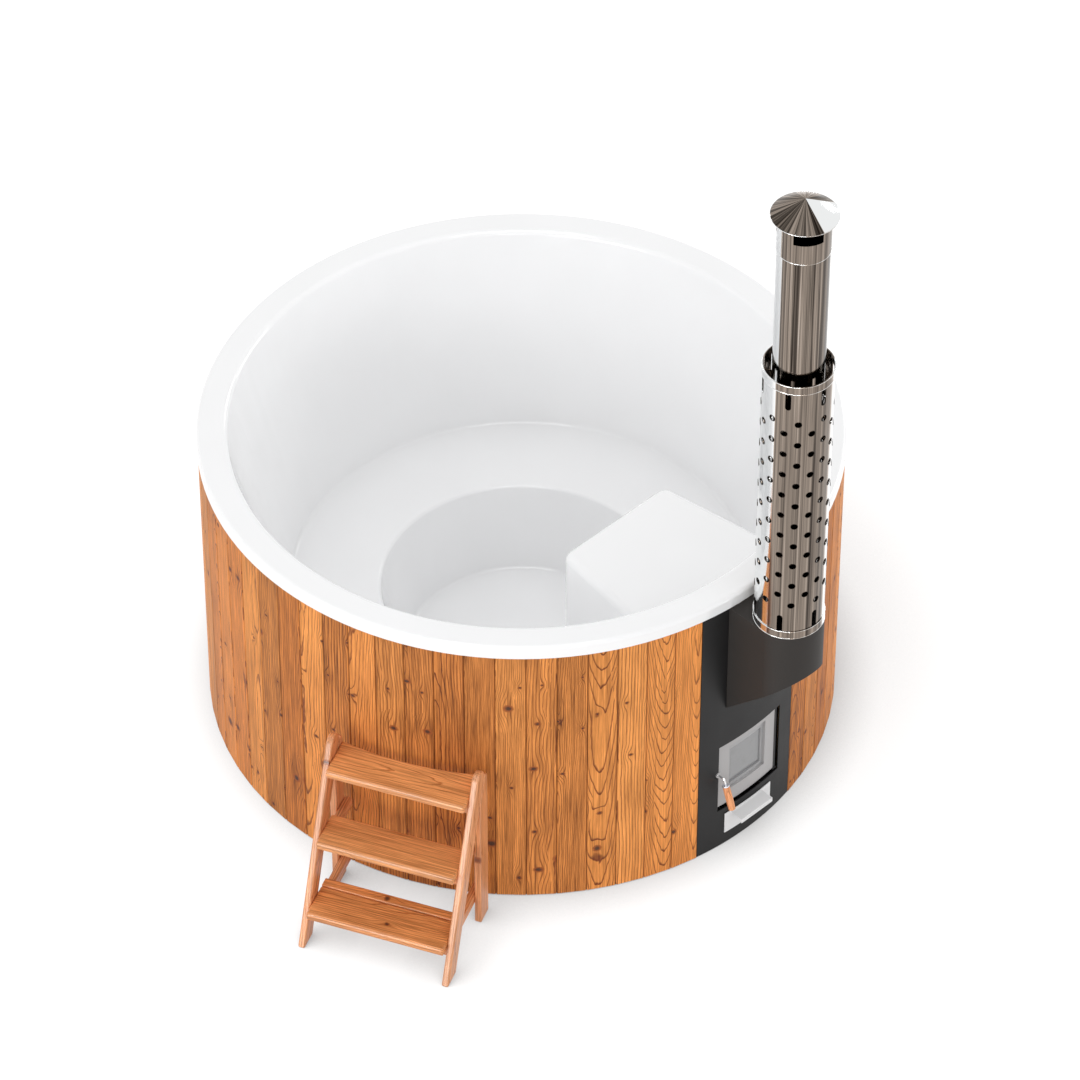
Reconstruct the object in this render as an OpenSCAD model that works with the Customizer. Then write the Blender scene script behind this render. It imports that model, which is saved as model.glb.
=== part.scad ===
// Round wooden hot tub with a built-in wood-fired heater, its flue and free-standing steps.
// +Z is up. The origin is the middle of the tub's footprint on the floor, and the fire door faces -Y.

/* [Tub] */
// Outer radius of the board wall
tub_r = 900; // [880:5:920]
// Height of the rim's top above the floor
rim_top = 960; // [940:5:980]
// How far the rim's edge stands proud of the boards
rim_proud = 3; // [1:1:6]
// Width of the rim's flat top and its rounded edges
rim_w = 83; // [75:1:90]
// Depth of the rim's outer edge
rim_skirt_h = 41; // [30:1:50]
// Thickness of the moulded shell
shell_t = 8; // [6:1:10]
// Height of the seat where it meets the backrest
seat_z = 365; // [340:5:390]
// Fall of the seat towards the footwell
seat_fall = 20; // [10:1:30]
// Radius where the seat meets the backrest
seat_back_r = 657; // [640:1:670]
// Radius of the footwell at its lip
footwell_r = 403; // [390:1:420]
// How far the footwell's wall leans in between its lip and its floor
footwell_lean = 67; // [55:1:80]

/* [Heater cover] */
// Height of the moulded cover over the heater
cover_top = 831; // [810:1:850]
// How far the cover's inner end stands in over the footwell's lip
cover_over = 43; // [30:1:53]
// Width of the cover at its inner end
cover_w = 400; // [390:2:420]
// Angle by which each side of the cover spreads towards the wall
cover_flare = 8; // [6:1:10]
// Rounding of the cover's top edges
cover_round = 24; // [16:2:30]

/* [Boards] */
// Number of boards
board_count = 63; // [56:1:70]
// Thickness of a board
board_t = 18; // [16:1:20]
// Angle that the heater's panel takes out of the board wall
panel_angle = 23.5; // [22:0.5:26]
// Clear joint between two boards
board_joint = 0.4; // [0.3:0.1:1]
// Size of the V groove along each joint
board_v = 2.5; // [1:0.5:4]
// Thickness of a board's tongue
tongue_t = 5; // [4:0.5:6]
// Length of a board's tongue
tongue_l = 6; // [4:0.5:8]
// Clearance of the boards above the floor
board_lift = 4; // [3:1:10]

/* [Base and wall frame] */
// Width of a base skid
skid_w = 95; // [80:5:120]
// Height of a base skid
skid_h = 45; // [45:1:60]
// Distance between the skids
skid_pitch = 400; // [360:10:420]
// Thickness of the deck planks
deck_t = 32; // [28:1:40]
// Width of a deck plank
plank_w = 110; // [90:5:130]
// Gap between deck planks
plank_gap = 10; // [5:1:15]
// Thickness of a bent wall former
former_t = 15; // [12:1:18]
// Height of a wall former
former_h = 50; // [40:5:60]
// Number of wall studs
stud_count = 12; // [8:1:16]
// Width of a wall stud
stud_w = 45; // [35:5:50]
// Thickness of a wall stud
stud_t = 34; // [25:1:36]
// Width of a seat post across the seat
post_w = 70; // [50:5:90]
// Thickness of a seat post
post_t = 45; // [35:5:60]
// Radius of the ring of seat posts
post_ring_r = 560; // [530:5:590]

/* [Heater] */
// Width of the heater body
heater_w = 330; // [320:2:336]
// Depth of the heater's front behind the outside of the board wall
heater_inset = 50; // [45:1:55]
// Gap between the heater's back and the cover's inner end, which the water pipes bridge
heater_gap = 70; // [60:1:85]
// Height of the heater's top above the floor
heater_top = 705; // [700:5:740]
// Thickness of the water jacket
jacket_t = 30; // [26:1:36]
// Thickness of the heater's steel
steel_t = 4; // [3:1:5]
// Outer radius of the two water pipes
water_pipe_r = 30; // [25:1:32]
// Rim of a water grille beyond its pipe
grille_rim = 18; // [14:1:24]
// Thickness of a water grille
grille_t = 6; // [4:1:8]
// Radius of the ring of small holes in a water grille
grille_ring_r = 20; // [18:1:22]
// Radius of a small hole in a water grille
grille_hole_r = 4; // [3:0.5:4.5]
// Radius of the hole in the middle of a water grille
grille_mid_r = 6; // [4:0.5:8]
// Thickness of the gasket behind the cover's inner end
gasket_t = 3; // [2:0.5:5]
// Height of the lower water pipe
water_low_z = 255; // [250:5:270]
// Height of the upper water pipe
water_high_z = 640; // [620:5:655]
// Number of slots in the grate
grate_slots = 9; // [7:1:11]

/* [Heater panel] */
// Thickness of the panel's sheet
panel_t = 3; // [2:0.5:4]
// Depth of the panel's folded edges
panel_fold = 18; // [12:1:20]

/* [Fire door] */
// Width of the door
door_w = 226; // [220:1:232]
// Height of the door's lower edge
door_z0 = 152; // [150:1:158]
// Height of the door's upper edge
door_z1 = 392; // [386:1:396]
// How far the door's face lies behind the panel's face
door_inset = 8; // [6:1:10]
// Thickness of the door's face
door_face_t = 8; // [6:1:9]
// Thickness of the door's back frame
door_back_t = 12; // [11:1:13]
// Width of the window in the face
window_w = 144; // [136:2:150]
// Height of the window's lower edge
window_z0 = 200; // [196:1:206]
// Height of the window's upper edge
window_z1 = 370; // [364:1:374]
// Width of the ledge that shows round the glass at the sides
ledge_w = 11; // [8:1:14]
// Width of the ledge above the glass
ledge_top_w = 24; // [16:1:26]
// Thickness of the glass
glass_t = 4; // [3:0.5:5]
// Gap round the door at its left side and top
door_gap = 3; // [2:0.5:4]
// Gap under the door
door_gap_low = 8; // [4:1:9]
// Radius of the hinge pin
hinge_pin_r = 3; // [2.5:0.5:3.5]
// Radius of the hinge barrel
barrel_r = 5.5; // [5:0.5:6]
// Space beside the door for the hinge barrel
hinge_space = 14; // [13:1:16]

/* [Door latch] */
// Distance of the spindle from the door's middle
latch_x = 115; // [112:1:117]
// Height of the spindle
latch_z = 288; // [280:1:296]
// Radius of the bent rod
rod_r = 3; // [2:0.5:3]
// Radius of the rod's bend
rod_bend_r = 7; // [6:1:9]
// How far the rod reaches out of the face before its bend
rod_reach = 16; // [14:1:20]
// Length of the rod between its bend and the ferrule
rod_tail = 15; // [10:1:18]
// Angle between the hanging grip and the vertical
grip_tilt = 20; // [10:1:30]
// Length of the wooden grip
grip_l = 77; // [70:1:90]
// Radius of the wooden grip
grip_r = 10.5; // [9:0.5:12]

/* [Ash drawer] */
// Width of the drawer's front
drawer_w = 182; // [176:2:190]
// Height of the drawer front's lower edge
drawer_z0 = 48; // [46:1:50]
// Height of the drawer's front
drawer_h = 74; // [70:1:78]
// Thickness of the drawer's sheet
drawer_t = 2; // [1.5:0.5:2.5]
// Width of the ash tray
tray_w = 154; // [146:2:156]
// Length of the ash tray
tray_l = 330; // [300:10:340]
// Width of the folded pull
pull_w = 124; // [110:2:130]
// How far the pull lies to the left of the middle
pull_shift = 9; // [0:1:14]
// Depth of the folded pull
pull_d = 40; // [30:1:45]
// Height of the pull's lip
pull_lip = 15; // [10:1:20]

/* [Flue] */
// Distance of the flue's axis from the outside of the board wall
flue_out = 124; // [120:1:130]
// Half the width of the housing under the flue
housing_r = 97; // [97:1:102]
// Height of the housing's top
housing_top = 918; // [910:1:918]
// Height of the housing's lower edge at the panel
housing_low = 544; // [530:2:560]
// Thickness of the housing's sheet
housing_t = 3; // [2:0.5:4]
// Outer radius of the flue pipe
pipe_r = 70; // [65:1:72]
// Wall of the flue pipe
pipe_t = 1.5; // [1:0.5:2]
// How far the flue pipe reaches up into the cap's collar
pipe_in_collar = 52; // [40:1:56]

/* [Heat guard] */
// Outer radius of the perforated guard
guard_r = 95; // [90:1:95]
// Wall of the guard
guard_t = 1.5; // [1:0.5:2]
// Height of the guard's top
guard_top = 1818; // [1810:1:1826]
// Height of each end band
band_h = 26; // [20:1:32]
// Number of columns of holes
hole_columns = 16; // [12:2:20]
// Number of holes in the longer columns
hole_rows = 10; // [8:1:10]
// Radius of a hole
hole_r = 9; // [6:0.5:10]
// Distance between the holes of a column
hole_pitch = 72; // [66:1:72]
// Height of the lowest hole
hole_low_z = 1040; // [1035:1:1045]
// Number of slots at each end
slot_count = 6; // [4:1:8]
// Width of a slot
slot_w = 16; // [12:1:18]
// Length of a slot beyond the band
slot_l = 57; // [45:1:60]

/* [Flue cap] */
// Radius of the cone
cap_r = 90; // [85:1:100]
// Slope of the cone
cap_slope = 30; // [25:1:35]
// Height of the cone's edge
cap_z = 2320; // [2315:1:2330]
// Distance of the collar's lower edge below the cone's edge
cap_collar_drop = 110; // [95:1:120]
// Number of windows in the collar
cap_windows = 3; // [3:1:4]
// Angle of a window
cap_window_angle = 66; // [50:1:70]
// Distance of the windows' lower edge below the cone's edge
cap_window_drop = 47; // [40:1:50]
// Height of a window
cap_window_h = 36; // [25:1:38]
// Angle from -Y to the middle of the first window
cap_turn = -37; // [-60:1:0]

/* [Steps] */
// Angle from -Y to the side where the steps stand
steps_angle = -64.8; // [-75:0.1:-55]
// Sideways shift of the steps from that line
steps_shift = 21; // [0:1:30]
// Clear width between the two stringers
steps_w = 402; // [380:2:440]
// Thickness of the side boards
side_t = 20; // [18:1:24]
// Width of the side boards
side_w = 57; // [50:1:65]
// Distance of the stringers' feet from the legs' rear edge
foot_run = 317; // [305:1:340]
// Lean of the stringers
stringer_lean = 23.3; // [22:0.1:24]
// Height of the stringers' rounded ends
stringer_top = 577; // [570:1:590]
// Gap between the legs' rear edge and the outside of the board wall
leg_gap = 23; // [18:1:35]
// Height of the lowest tread's top
tread_low_z = 124; // [120:1:130]
// Rise from tread to tread
tread_rise = 196; // [190:1:198]
// Thickness of a tread
tread_t = 24; // [20:1:28]
// Depth of a tread
tread_d = 113; // [105:1:118]
// How far a tread's nose stands out of the stringers
nose_out = 36; // [25:1:40]
// Rounding of a tread's nose
nose_r = 9; // [5:1:11]
// Gap between the top tread and the board wall
tread_wall_gap = 43; // [25:1:50]
// Width of a side rail
rail_w = 22; // [18:1:26]
// Height of a side rail
rail_h = 30; // [25:1:35]
// Depth of the slat behind the lowest tread
slat_d = 30; // [25:1:32]

/* [Drain] */
// Gap between deck planks that the drain passes, counted from the middle towards the far side
drain_row = -1; // [-2:1:0]
// Distance of the drain from the tub's middle, across the heater's axis
drain_x = 120; // [110:5:140]
// Height of the drain pipe's axis
drain_z = 26; // [24:1:26]
// Outer radius of the drain pipe and the hose tail
drain_pipe_r = 16; // [14:1:16]
// Wall of the drain pipe
drain_wall = 3; // [2:0.5:4]
// Length of the valve body
valve_l = 60; // [50:5:70]
// Length of the valve's lever
lever_l = 95; // [80:5:110]
// Length of the hose tail
tail_l = 45; // [35:5:60]

/* [Hidden] */
$fn = 180;

white = "whitesmoke";
timber = "peru";
raw_timber = "burlywood";
anthracite = [0.17, 0.17, 0.18];
dark_steel = [0.25, 0.25, 0.26];
grey_steel = [0.72, 0.73, 0.74];
bright_steel = [0.62, 0.59, 0.56];
brass = [0.75, 0.62, 0.32];

seat = 0.3;            // clearance between pieces that seat on each other
run = 0.05;            // radial clearance of a shaft in its bore
hole_fn = 40;          // facets that stand for a small true circle
arc_n = 6;             // steps in a rounded corner of a profile
past = 1;              // how far a cut runs past the face it opens

floor_z = skid_h + deck_t + shell_t;
floor_r = footwell_r - footwell_lean;
cover_end = footwell_r - cover_over;
heater_front = tub_r - heater_inset;
heater_back = cover_end + heater_gap;
cap_collar_z = cap_z - cap_collar_drop;
pipe_top = cap_collar_z + pipe_in_collar;
cap_window_z = cap_z - cap_window_drop;
flue_d = tub_r + flue_out;
leg_d = tub_r + leg_gap;
foot_d = leg_d + foot_run;
plank_step = plank_w + plank_gap;
drain_y = drain_row * plank_step;
rim_r = tub_r + rim_proud;
board_top = rim_top - rim_skirt_h - 1;
board_pitch = (360 - panel_angle) / board_count;
board_inner_r = tub_r - board_t;
former_r = board_inner_r - seat;
frame_r = former_r - former_t - seat;
deck_z = skid_h + deck_t;
lip_z = seat_z - seat_fall;

// ---- plane geometry -------------------------------------------------------

function unit(v) = v / norm(v);
function left_of(a, b) = let (d = unit(b - a)) [-d[1], d[0]];
function turn_of(a, b) = let (d = b - a) d > 180 ? d - 360 : d < -180 ? d + 360 : d;

// Corner b of the line a-b-c, moved to the line's left by t
function moved_corner(a, b, c, t) = let (m = left_of(a, b), k = left_of(b, c)) b + (m + k) * t / (1 + m * k);

// Points of the arc of radius r that rounds corner b of the line a-b-c
function corner_arc(a, b, c, r, n = arc_n) =
    let (p = unit(a - b), q = unit(c - b), half = acos(p * q) / 2,
         middle = b + unit(p + q) * r / sin(half),
         from = b + p * r / tan(half) - middle, to = b + q * r / tan(half) - middle,
         start = atan2(from[1], from[0]), sweep = turn_of(start, atan2(to[1], to[0])))
    [for (i = [0:n]) middle + r * [cos(start + sweep * i / n), sin(start + sweep * i / n)]];

// A line whose inner corners are rounded by the radii in rounds
function rounded_line(line, rounds) =
    [line[0],
     for (i = [1:len(line) - 2]) each corner_arc(line[i - 1], line[i], line[i + 1], rounds[i - 1]),
     line[len(line) - 1]];

// A closed outline with every corner rounded by r
function rounded_outline(pts, r, n = arc_n) =
    let (m = len(pts))
    [for (i = [0:m - 1]) each corner_arc(pts[(i + m - 1) % m], pts[i], pts[(i + 1) % m], r, n)];

function reversed(list) = [for (i = [len(list) - 1:-1:0]) list[i]];

// ---- small shared shapes ---------------------------------------------------

module box(from, to) {
    translate(from) cube(to - from);
}

// Turns its children, drawn facing -Y, to an angle counted from -Y towards +X
module facing(angle) {
    rotate([0, 0, angle]) children();
}

// A tube round the vertical axis
module tube(outer, inner, z0, z1) {
    difference() {
        translate([0, 0, z0]) cylinder(r = outer, h = z1 - z0);
        translate([0, 0, z0 - past]) cylinder(r = inner, h = z1 - z0 + 2 * past);
    }
}

// A rod along Y from y0 to y1
module rod_y(r, x, z, y0, y1) {
    translate([x, y0, z]) rotate([-90, 0, 0]) cylinder(r = r, h = y1 - y0, $fn = hole_fn);
}

// The part of a tube that lies between two heights and two widths on the -Y side
module curved_plate(outer, inner, x0, x1, z0, z1) {
    intersection() {
        tube(outer, inner, z0, z1);
        box([x0, -outer - past, z0 - past], [x1, -inner * 0.9, z1 + past]);
    }
}

// ---- tub shell ---------------------------------------------------------------

wet_line = [[0, floor_z], [floor_r, floor_z], [footwell_r, lip_z], [seat_back_r, seat_z],
    [rim_r - rim_w, rim_top], [rim_r, rim_top], [rim_r, rim_top - rim_skirt_h]];
wet_rounds = [30, 22, 40, 18, 12];
dry_rounds = [for (i = [0:4]) wet_rounds[i] + (i == 0 || i == 2 ? shell_t : -shell_t)];
dry_line = [[0, floor_z - shell_t],
    for (i = [1:5]) moved_corner(wet_line[i - 1], wet_line[i], wet_line[i + 1], -shell_t),
    [rim_r - shell_t, rim_top - rim_skirt_h]];
wet_points = rounded_line(wet_line, wet_rounds);
dry_points = rounded_line(dry_line, dry_rounds);

cover_corner_r = 34;   // rounding of the cover's upright corners
cover_base_z = 150;    // the cover's walls start inside the footwell's wall
cover_layers = 5;      // steps in the rounding of its top edge

// Outline of the heater cover, drawn in by e
function cover_outline(e) =
    let (near = cover_end + e, far = tub_r + past, side = cover_w / 2 - e / cos(cover_flare),
         grow = tan(cover_flare), r = cover_corner_r - e,
         a = [side + (near - cover_end) * grow, -near], b = [side + (far - cover_end) * grow, -far],
         c = [-b[0], b[1]], d = [-a[0], a[1]])
    concat(corner_arc(b, a, d, r), corner_arc(a, d, c, r), [c, b]);

// Solid of the cover: upright walls, then a rounded top edge
module cover_solid(e, z0) {
    round = cover_round - e;
    steps = [for (i = [0:cover_layers]) 90 * i / cover_layers];
    layers = concat([[0, z0]], [for (s = steps) [round * (1 - cos(s)), cover_top - e - round * (1 - sin(s))]]);
    m = len(cover_outline(e));
    points = [for (l = layers) each [for (p = cover_outline(e + l[0])) [p[0], p[1], l[1]]]];
    sides = [for (k = [0:len(layers) - 2]) each
        [for (i = [0:m - 1]) [k * m + i, (k + 1) * m + i, (k + 1) * m + (i + 1) % m, k * m + (i + 1) % m]]];
    last = (len(layers) - 1) * m;
    polyhedron(points, concat(sides, [[for (i = [0:m - 1]) i], [for (i = [m - 1:-1:0]) last + i]]));
}

module tub_shell() {
    color(white) difference() {
        union() {
            rotate_extrude() polygon(concat(wet_points, reversed(dry_points)));
            intersection() {
                cover_solid(0, cover_base_z);
                rotate_extrude() polygon(concat(dry_points, [[0, rim_top - rim_skirt_h]]));
            }
        }
        cover_solid(shell_t, -past);
        for (z = [water_low_z, water_high_z])
            rod_y(water_pipe_r + seat, 0, z, -cover_end - 2 * shell_t, -cover_end + shell_t);
        translate([drain_x, drain_y, 0]) cylinder(r = drain_tail_r + seat, h = floor_z + past, $fn = hole_fn);
    }
}

// ---- boards ------------------------------------------------------------------

// A point beside a board's edge: r along the joint from the tub's axis, s across it towards +X
function joint_point(side, r, s) =
    let (half = board_pitch / 2)
    [side * r * sin(half) + s * cos(half), -r * cos(half) + side * s * sin(half)];

// One board seen from above, facing -Y, with its tongue on the +X side
module board_outline() {
    out_r = tub_r / cos(board_pitch / 2);
    in_r = board_inner_r / cos(board_pitch / 2);
    mid_r = (out_r + in_r) / 2;
    free = 0.3;        // clearance of the tongue in the groove
    gap = board_joint / 2;
    tongue = tongue_t / 2;
    groove = tongue + free;
    polygon([
        joint_point(1, out_r, -gap - board_v),
        joint_point(1, out_r - board_v, -gap),
        joint_point(1, mid_r + tongue, -gap),
        joint_point(1, mid_r + tongue, tongue_l),
        joint_point(1, mid_r - tongue, tongue_l),
        joint_point(1, mid_r - tongue, -gap),
        joint_point(1, in_r, -gap),
        joint_point(-1, in_r, gap),
        joint_point(-1, mid_r - groove, gap),
        joint_point(-1, mid_r - groove, tongue_l + 2 * free),
        joint_point(-1, mid_r + groove, tongue_l + 2 * free),
        joint_point(-1, mid_r + groove, gap),
        joint_point(-1, out_r - board_v, gap),
        joint_point(-1, out_r, gap + board_v)
    ]);
}

module cladding_boards() {
    color(timber) difference() {
        for (i = [0:board_count - 1]) facing(panel_angle / 2 + (i + 0.5) * board_pitch)
            translate([0, 0, board_lift]) linear_extrude(board_top - board_lift) board_outline();
        facing(-panel_angle / 2)
            box([-board_joint / 2, -tub_r - past, 0], [2 * tongue_l, -board_inner_r + board_t, board_top + past]);
        rod_y(drain_pipe_r + 2, drain_x, drain_z, tub_r * 0.9, tub_r + past);
    }
}

// ---- base and wall frame --------------------------------------------------------

former_zs = [board_lift + 8, 440, board_top - former_h - 2];

module wall_formers() {
    side = panel_angle / 2;
    color(raw_timber) difference() {
        for (z = former_zs) rotate([0, 0, side - 90]) rotate_extrude(angle = 360 - 2 * side)
            translate([former_r - former_t, z]) square([former_t, former_h]);
        rod_y(drain_pipe_r + 2, drain_x, drain_z, tub_r * 0.9, tub_r + past);
    }
}

module wall_studs() {
    first = panel_angle / 2 + 2.6;
    color(raw_timber) for (i = [0:stud_count - 1])
        facing(first + i * (360 - 2 * first) / (stud_count - 1))
            box([-stud_w / 2, -frame_r + 0.6, deck_z], [stud_w / 2, -frame_r + stud_t, rim_top - shell_t - seat]);
}

module base_skids() {
    color(raw_timber) for (k = [-1:1]) {
        reach = sqrt(pow(frame_r, 2) - pow(abs(k) * skid_pitch + skid_w / 2, 2)) - past;
        box([k * skid_pitch - skid_w / 2, -min(reach, heater_front), 0],
            [k * skid_pitch + skid_w / 2, reach, skid_h]);
    }
}

plank_count = floor(frame_r / plank_step);

// Deck plank i, counted from the middle towards the far side
module plank(i) {
    clear_x = heater_w / 2 + 15;
    clear_y = heater_back - 15;
    difference() {
        intersection() {
            box([-frame_r, i * plank_step + plank_gap / 2, skid_h],
                [frame_r, i * plank_step + plank_gap / 2 + plank_w, deck_z]);
            translate([0, 0, skid_h]) cylinder(r = frame_r, h = deck_t);
        }
        box([-clear_x, -tub_r, 0], [clear_x, -clear_y, deck_z + past]);
        translate([drain_x, drain_y, 0]) cylinder(r = drain_tail_r + 6, h = deck_z + past, $fn = hole_fn);
    }
}

module deck_planks() {
    color(raw_timber) for (i = [-plank_count:plank_count - 1])
        if (i < drain_row - 1 || i > drain_row) plank(i);
}

// The two planks that are notched for the drain
module drain_plank_front() {
    color(raw_timber) plank(drain_row - 1);
}

module drain_plank_back() {
    color(raw_timber) plank(drain_row);
}

module seat_posts() {
    inner = post_ring_r - post_w / 2;
    under = lip_z + (inner - footwell_r) * seat_fall / (seat_back_r - footwell_r) - shell_t * 1.02 - seat;
    color(raw_timber) for (a = [45:45:315]) facing(a)
        box([-post_t / 2, -inner - post_w, deck_z], [post_t / 2, -inner, under]);
}

// ---- heater ----------------------------------------------------------------------

heater_x = heater_w / 2;
heater_z0 = skid_h;
fire_x = heater_x - jacket_t;
fire_z0 = 160;
fire_z1 = heater_top - jacket_t;
throat_x = 88;         // half the clear width of the door's throat
throat_z0 = door_z0 + 20;
throat_z1 = door_z1 - 20;
neck_t = 12;
duct_x = 60;           // half the clear width of the smoke duct
duct_z0 = 605;
duct_z1 = fire_z1;
ash_x = tray_w / 2 + 5;
ash_z0 = 53;
ash_z1 = 122;
ash_back = heater_front - tray_l - 12;
grate_x = 95;          // half the clear width of the hole under the grate
grate_y0 = heater_front - jacket_t - 10;
grate_y1 = heater_back + 95;
grate_rest = 9;        // how far the grate lies on the fire space's floor
grate_t = 10;

// Fire space, door throat, smoke outlet, ash space and the hole under the grate, grown by g
module fire_space(g) {
    front = heater_front + past;
    skin = heater_front - jacket_t;
    box([-fire_x - g, -skin - g, fire_z0 - g], [fire_x + g, -heater_back - jacket_t + g, fire_z1 + g]);
    box([-throat_x - g, -front, throat_z0 - g], [throat_x + g, -skin + past, throat_z1 + g]);
    box([-duct_x - g, -front, duct_z0 - g], [duct_x + g, -skin + past, duct_z1 + g]);
    box([-ash_x - g, -front, ash_z0 - g], [ash_x + g, -ash_back + g, ash_z1 + g]);
    box([-grate_x - g, -grate_y0 - g, ash_z1 - past], [grate_x + g, -grate_y1 + g, fire_z0 + past]);
}

module heater_body() {
    color(dark_steel) difference() {
        box([-heater_x, -heater_front, heater_z0], [heater_x, -heater_back, heater_top]);
        difference() {
            box([-heater_x + steel_t, -heater_front + steel_t, heater_z0 + steel_t],
                [heater_x - steel_t, -heater_back - steel_t, heater_top - steel_t]);
            fire_space(steel_t);
        }
        fire_space(0);
        for (z = [water_low_z, water_high_z])
            rod_y(water_pipe_r - steel_t, 0, z, -heater_back - 2 * steel_t, -heater_back + past);
    }
}

module fire_grate() {
    edge = 14;
    wide = 2 * (grate_x + grate_rest);
    pitch = (wide - 2 * edge) / grate_slots;
    color(dark_steel) difference() {
        box([-wide / 2, -grate_y0 - grate_rest, fire_z0], [wide / 2, -grate_y1 + grate_rest, fire_z0 + grate_t]);
        for (i = [0:grate_slots - 1])
            box([-wide / 2 + edge + (i + 0.28) * pitch, -grate_y0 + edge, fire_z0 - past],
                [-wide / 2 + edge + (i + 0.72) * pitch, -grate_y1 - edge, fire_z0 + grate_t + past]);
    }
}

module water_pipes() {
    color(grey_steel) for (z = [water_low_z, water_high_z]) difference() {
        rod_y(water_pipe_r, 0, z, -heater_back, -cover_end - seat);
        rod_y(water_pipe_r - steel_t, 0, z, -heater_back - past, -cover_end + past);
    }
}

grille_r = water_pipe_r + grille_rim;
gasket_r = grille_r - grille_rim / 3;

module pipe_gaskets() {
    color([0.1, 0.1, 0.1]) for (z = [water_low_z, water_high_z]) difference() {
        rod_y(gasket_r, 0, z, -cover_end - shell_t - gasket_t, -cover_end - shell_t);
        rod_y(water_pipe_r + seat, 0, z, -cover_end - shell_t - gasket_t - past, -cover_end - shell_t + past);
    }
}

module water_grilles() {
    holes = 8;
    face = -cover_end + grille_t;
    color(white) for (z = [water_low_z, water_high_z]) difference() {
        rod_y(grille_r, 0, z, -cover_end, face);
        for (a = [0:360 / holes:359])
            rod_y(grille_hole_r, grille_ring_r * cos(a), z + grille_ring_r * sin(a), -cover_end - past, face + past);
        rod_y(grille_mid_r, 0, z, -cover_end - past, face + past);
    }
}

// ---- heater panel and what joins it to the heater ------------------------------------

door_r = tub_r - door_inset;
door_mid_r = door_r - door_face_t;
door_inner_r = door_mid_r - door_back_t;
seal_t = 5;
neck_r = door_inner_r - seal_t;
hinge_x = door_w / 2 + 6;
hinge_y = tub_r - 20;
boss_r = 9;
boss_free = 3;

module heater_panel() {
    side = panel_angle / 2;
    color(anthracite) difference() {
        union() {
            rotate([0, 0, -90 - side]) rotate_extrude(angle = panel_angle)
                translate([tub_r - panel_t, board_lift]) square([panel_t, board_top - board_lift]);
            for (s = [-1, 1]) facing(s * side) mirror([s < 0 ? 1 : 0, 0, 0])
                box([-panel_t, -tub_r + panel_t / 2, board_lift], [0, -tub_r + panel_fold, board_top]);
        }
        box([-door_w / 2 - door_gap, -tub_r - past, door_z0 - door_gap_low],
            [door_w / 2 + hinge_space, -tub_r * 0.9, door_z1 + door_gap]);
        rod_y(boss_r + boss_free, -latch_x, latch_z, -tub_r - past, -tub_r * 0.9);
        box([-tray_w / 2 - 3, -tub_r - past, drawer_z0 + 5], [tray_w / 2 + 3, -tub_r * 0.9, drawer_z0 + drawer_h - 5]);
        box([-duct_x, -tub_r - past, duct_z0], [duct_x, -tub_r * 0.9, duct_z1]);
    }
}

module door_neck() {
    color(dark_steel) difference() {
        intersection() {
            box([-throat_x - neck_t, -tub_r, throat_z0 - neck_t], [throat_x + neck_t, -heater_front, throat_z1 + neck_t]);
            cylinder(r = neck_r, h = rim_top);
        }
        box([-throat_x, -tub_r, throat_z0], [throat_x, -heater_front + past, throat_z1]);
    }
}

module smoke_duct() {
    color(dark_steel) difference() {
        intersection() {
            box([-duct_x - steel_t, -tub_r, duct_z0 - steel_t], [duct_x + steel_t, -heater_front, duct_z1 + steel_t]);
            cylinder(r = tub_r - panel_t - seat, h = rim_top);
        }
        box([-duct_x, -tub_r, duct_z0], [duct_x, -heater_front + past, duct_z1]);
    }
}

lug_t = 7;
lug_zs = [door_z0 - 1.5 - lug_t, door_z1 + 1.5];

module hinge_lugs() {
    x0 = throat_x + neck_t + 2;
    color(dark_steel) for (z = lug_zs) translate([0, 0, z]) difference() {
        linear_extrude(lug_t) polygon([[x0, -heater_front], [x0, -hinge_y + 10], [hinge_x - 7, -hinge_y - 6],
            [hinge_x + 7, -hinge_y - 6], [hinge_x + 7, -hinge_y + 10], [x0 + 22, -heater_front]]);
        translate([hinge_x, -hinge_y, -past]) cylinder(r = hinge_pin_r, h = lug_t + 2 * past, $fn = hole_fn);
    }
}

module hinge_pin() {
    color(grey_steel) translate([hinge_x, -hinge_y, lug_zs[0]])
        cylinder(r = hinge_pin_r, h = lug_zs[1] - lug_zs[0] + lug_t, $fn = hole_fn);
}

tray_z0 = drawer_z0 + 8;
runner_w = 12;

module drawer_runners() {
    color(dark_steel) for (s = [-1, 1]) mirror([s < 0 ? 1 : 0, 0, 0])
        box([tray_w / 2 - runner_w, -heater_front, ash_z0], [tray_w / 2 + 4, -ash_back, tray_z0 - seat]);
}

// ---- flue ------------------------------------------------------------------------

// Housing's plan drawn in by e: straight sides from the panel, and a round front about the flue
function housing_outline(e) =
    let (r = housing_r - e, n = 48)
    concat([for (i = [0:n]) [-r * cos(180 * i / n), -flue_d - r * sin(180 * i / n)]],
           [[r, -tub_r * 0.9], [-r, -tub_r * 0.9]]);

// Housing's body drawn in by e, cut off below by a plane that rises outwards at 45 degrees
module housing_solid(e) {
    difference() {
        translate([0, 0, housing_low * 0.8]) linear_extrude(housing_top - e - housing_low * 0.8)
            polygon(housing_outline(e));
        translate([0, -tub_r, housing_low + e * sqrt(2)]) rotate([-45, 0, 0])
            box([-2 * housing_r, -tub_r, -tub_r], [2 * housing_r, tub_r, 0]);
    }
}

module flue_housing() {
    color(anthracite) difference() {
        housing_solid(0);
        housing_solid(housing_t);
        cylinder(r = tub_r + seat, h = rim_top);
        translate([0, -flue_d, housing_top - 2 * housing_t]) cylinder(r = collar_r, h = 3 * housing_t);
    }
}

collar_r = pipe_r - pipe_t - 0.2;
collar_l = 40;

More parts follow.
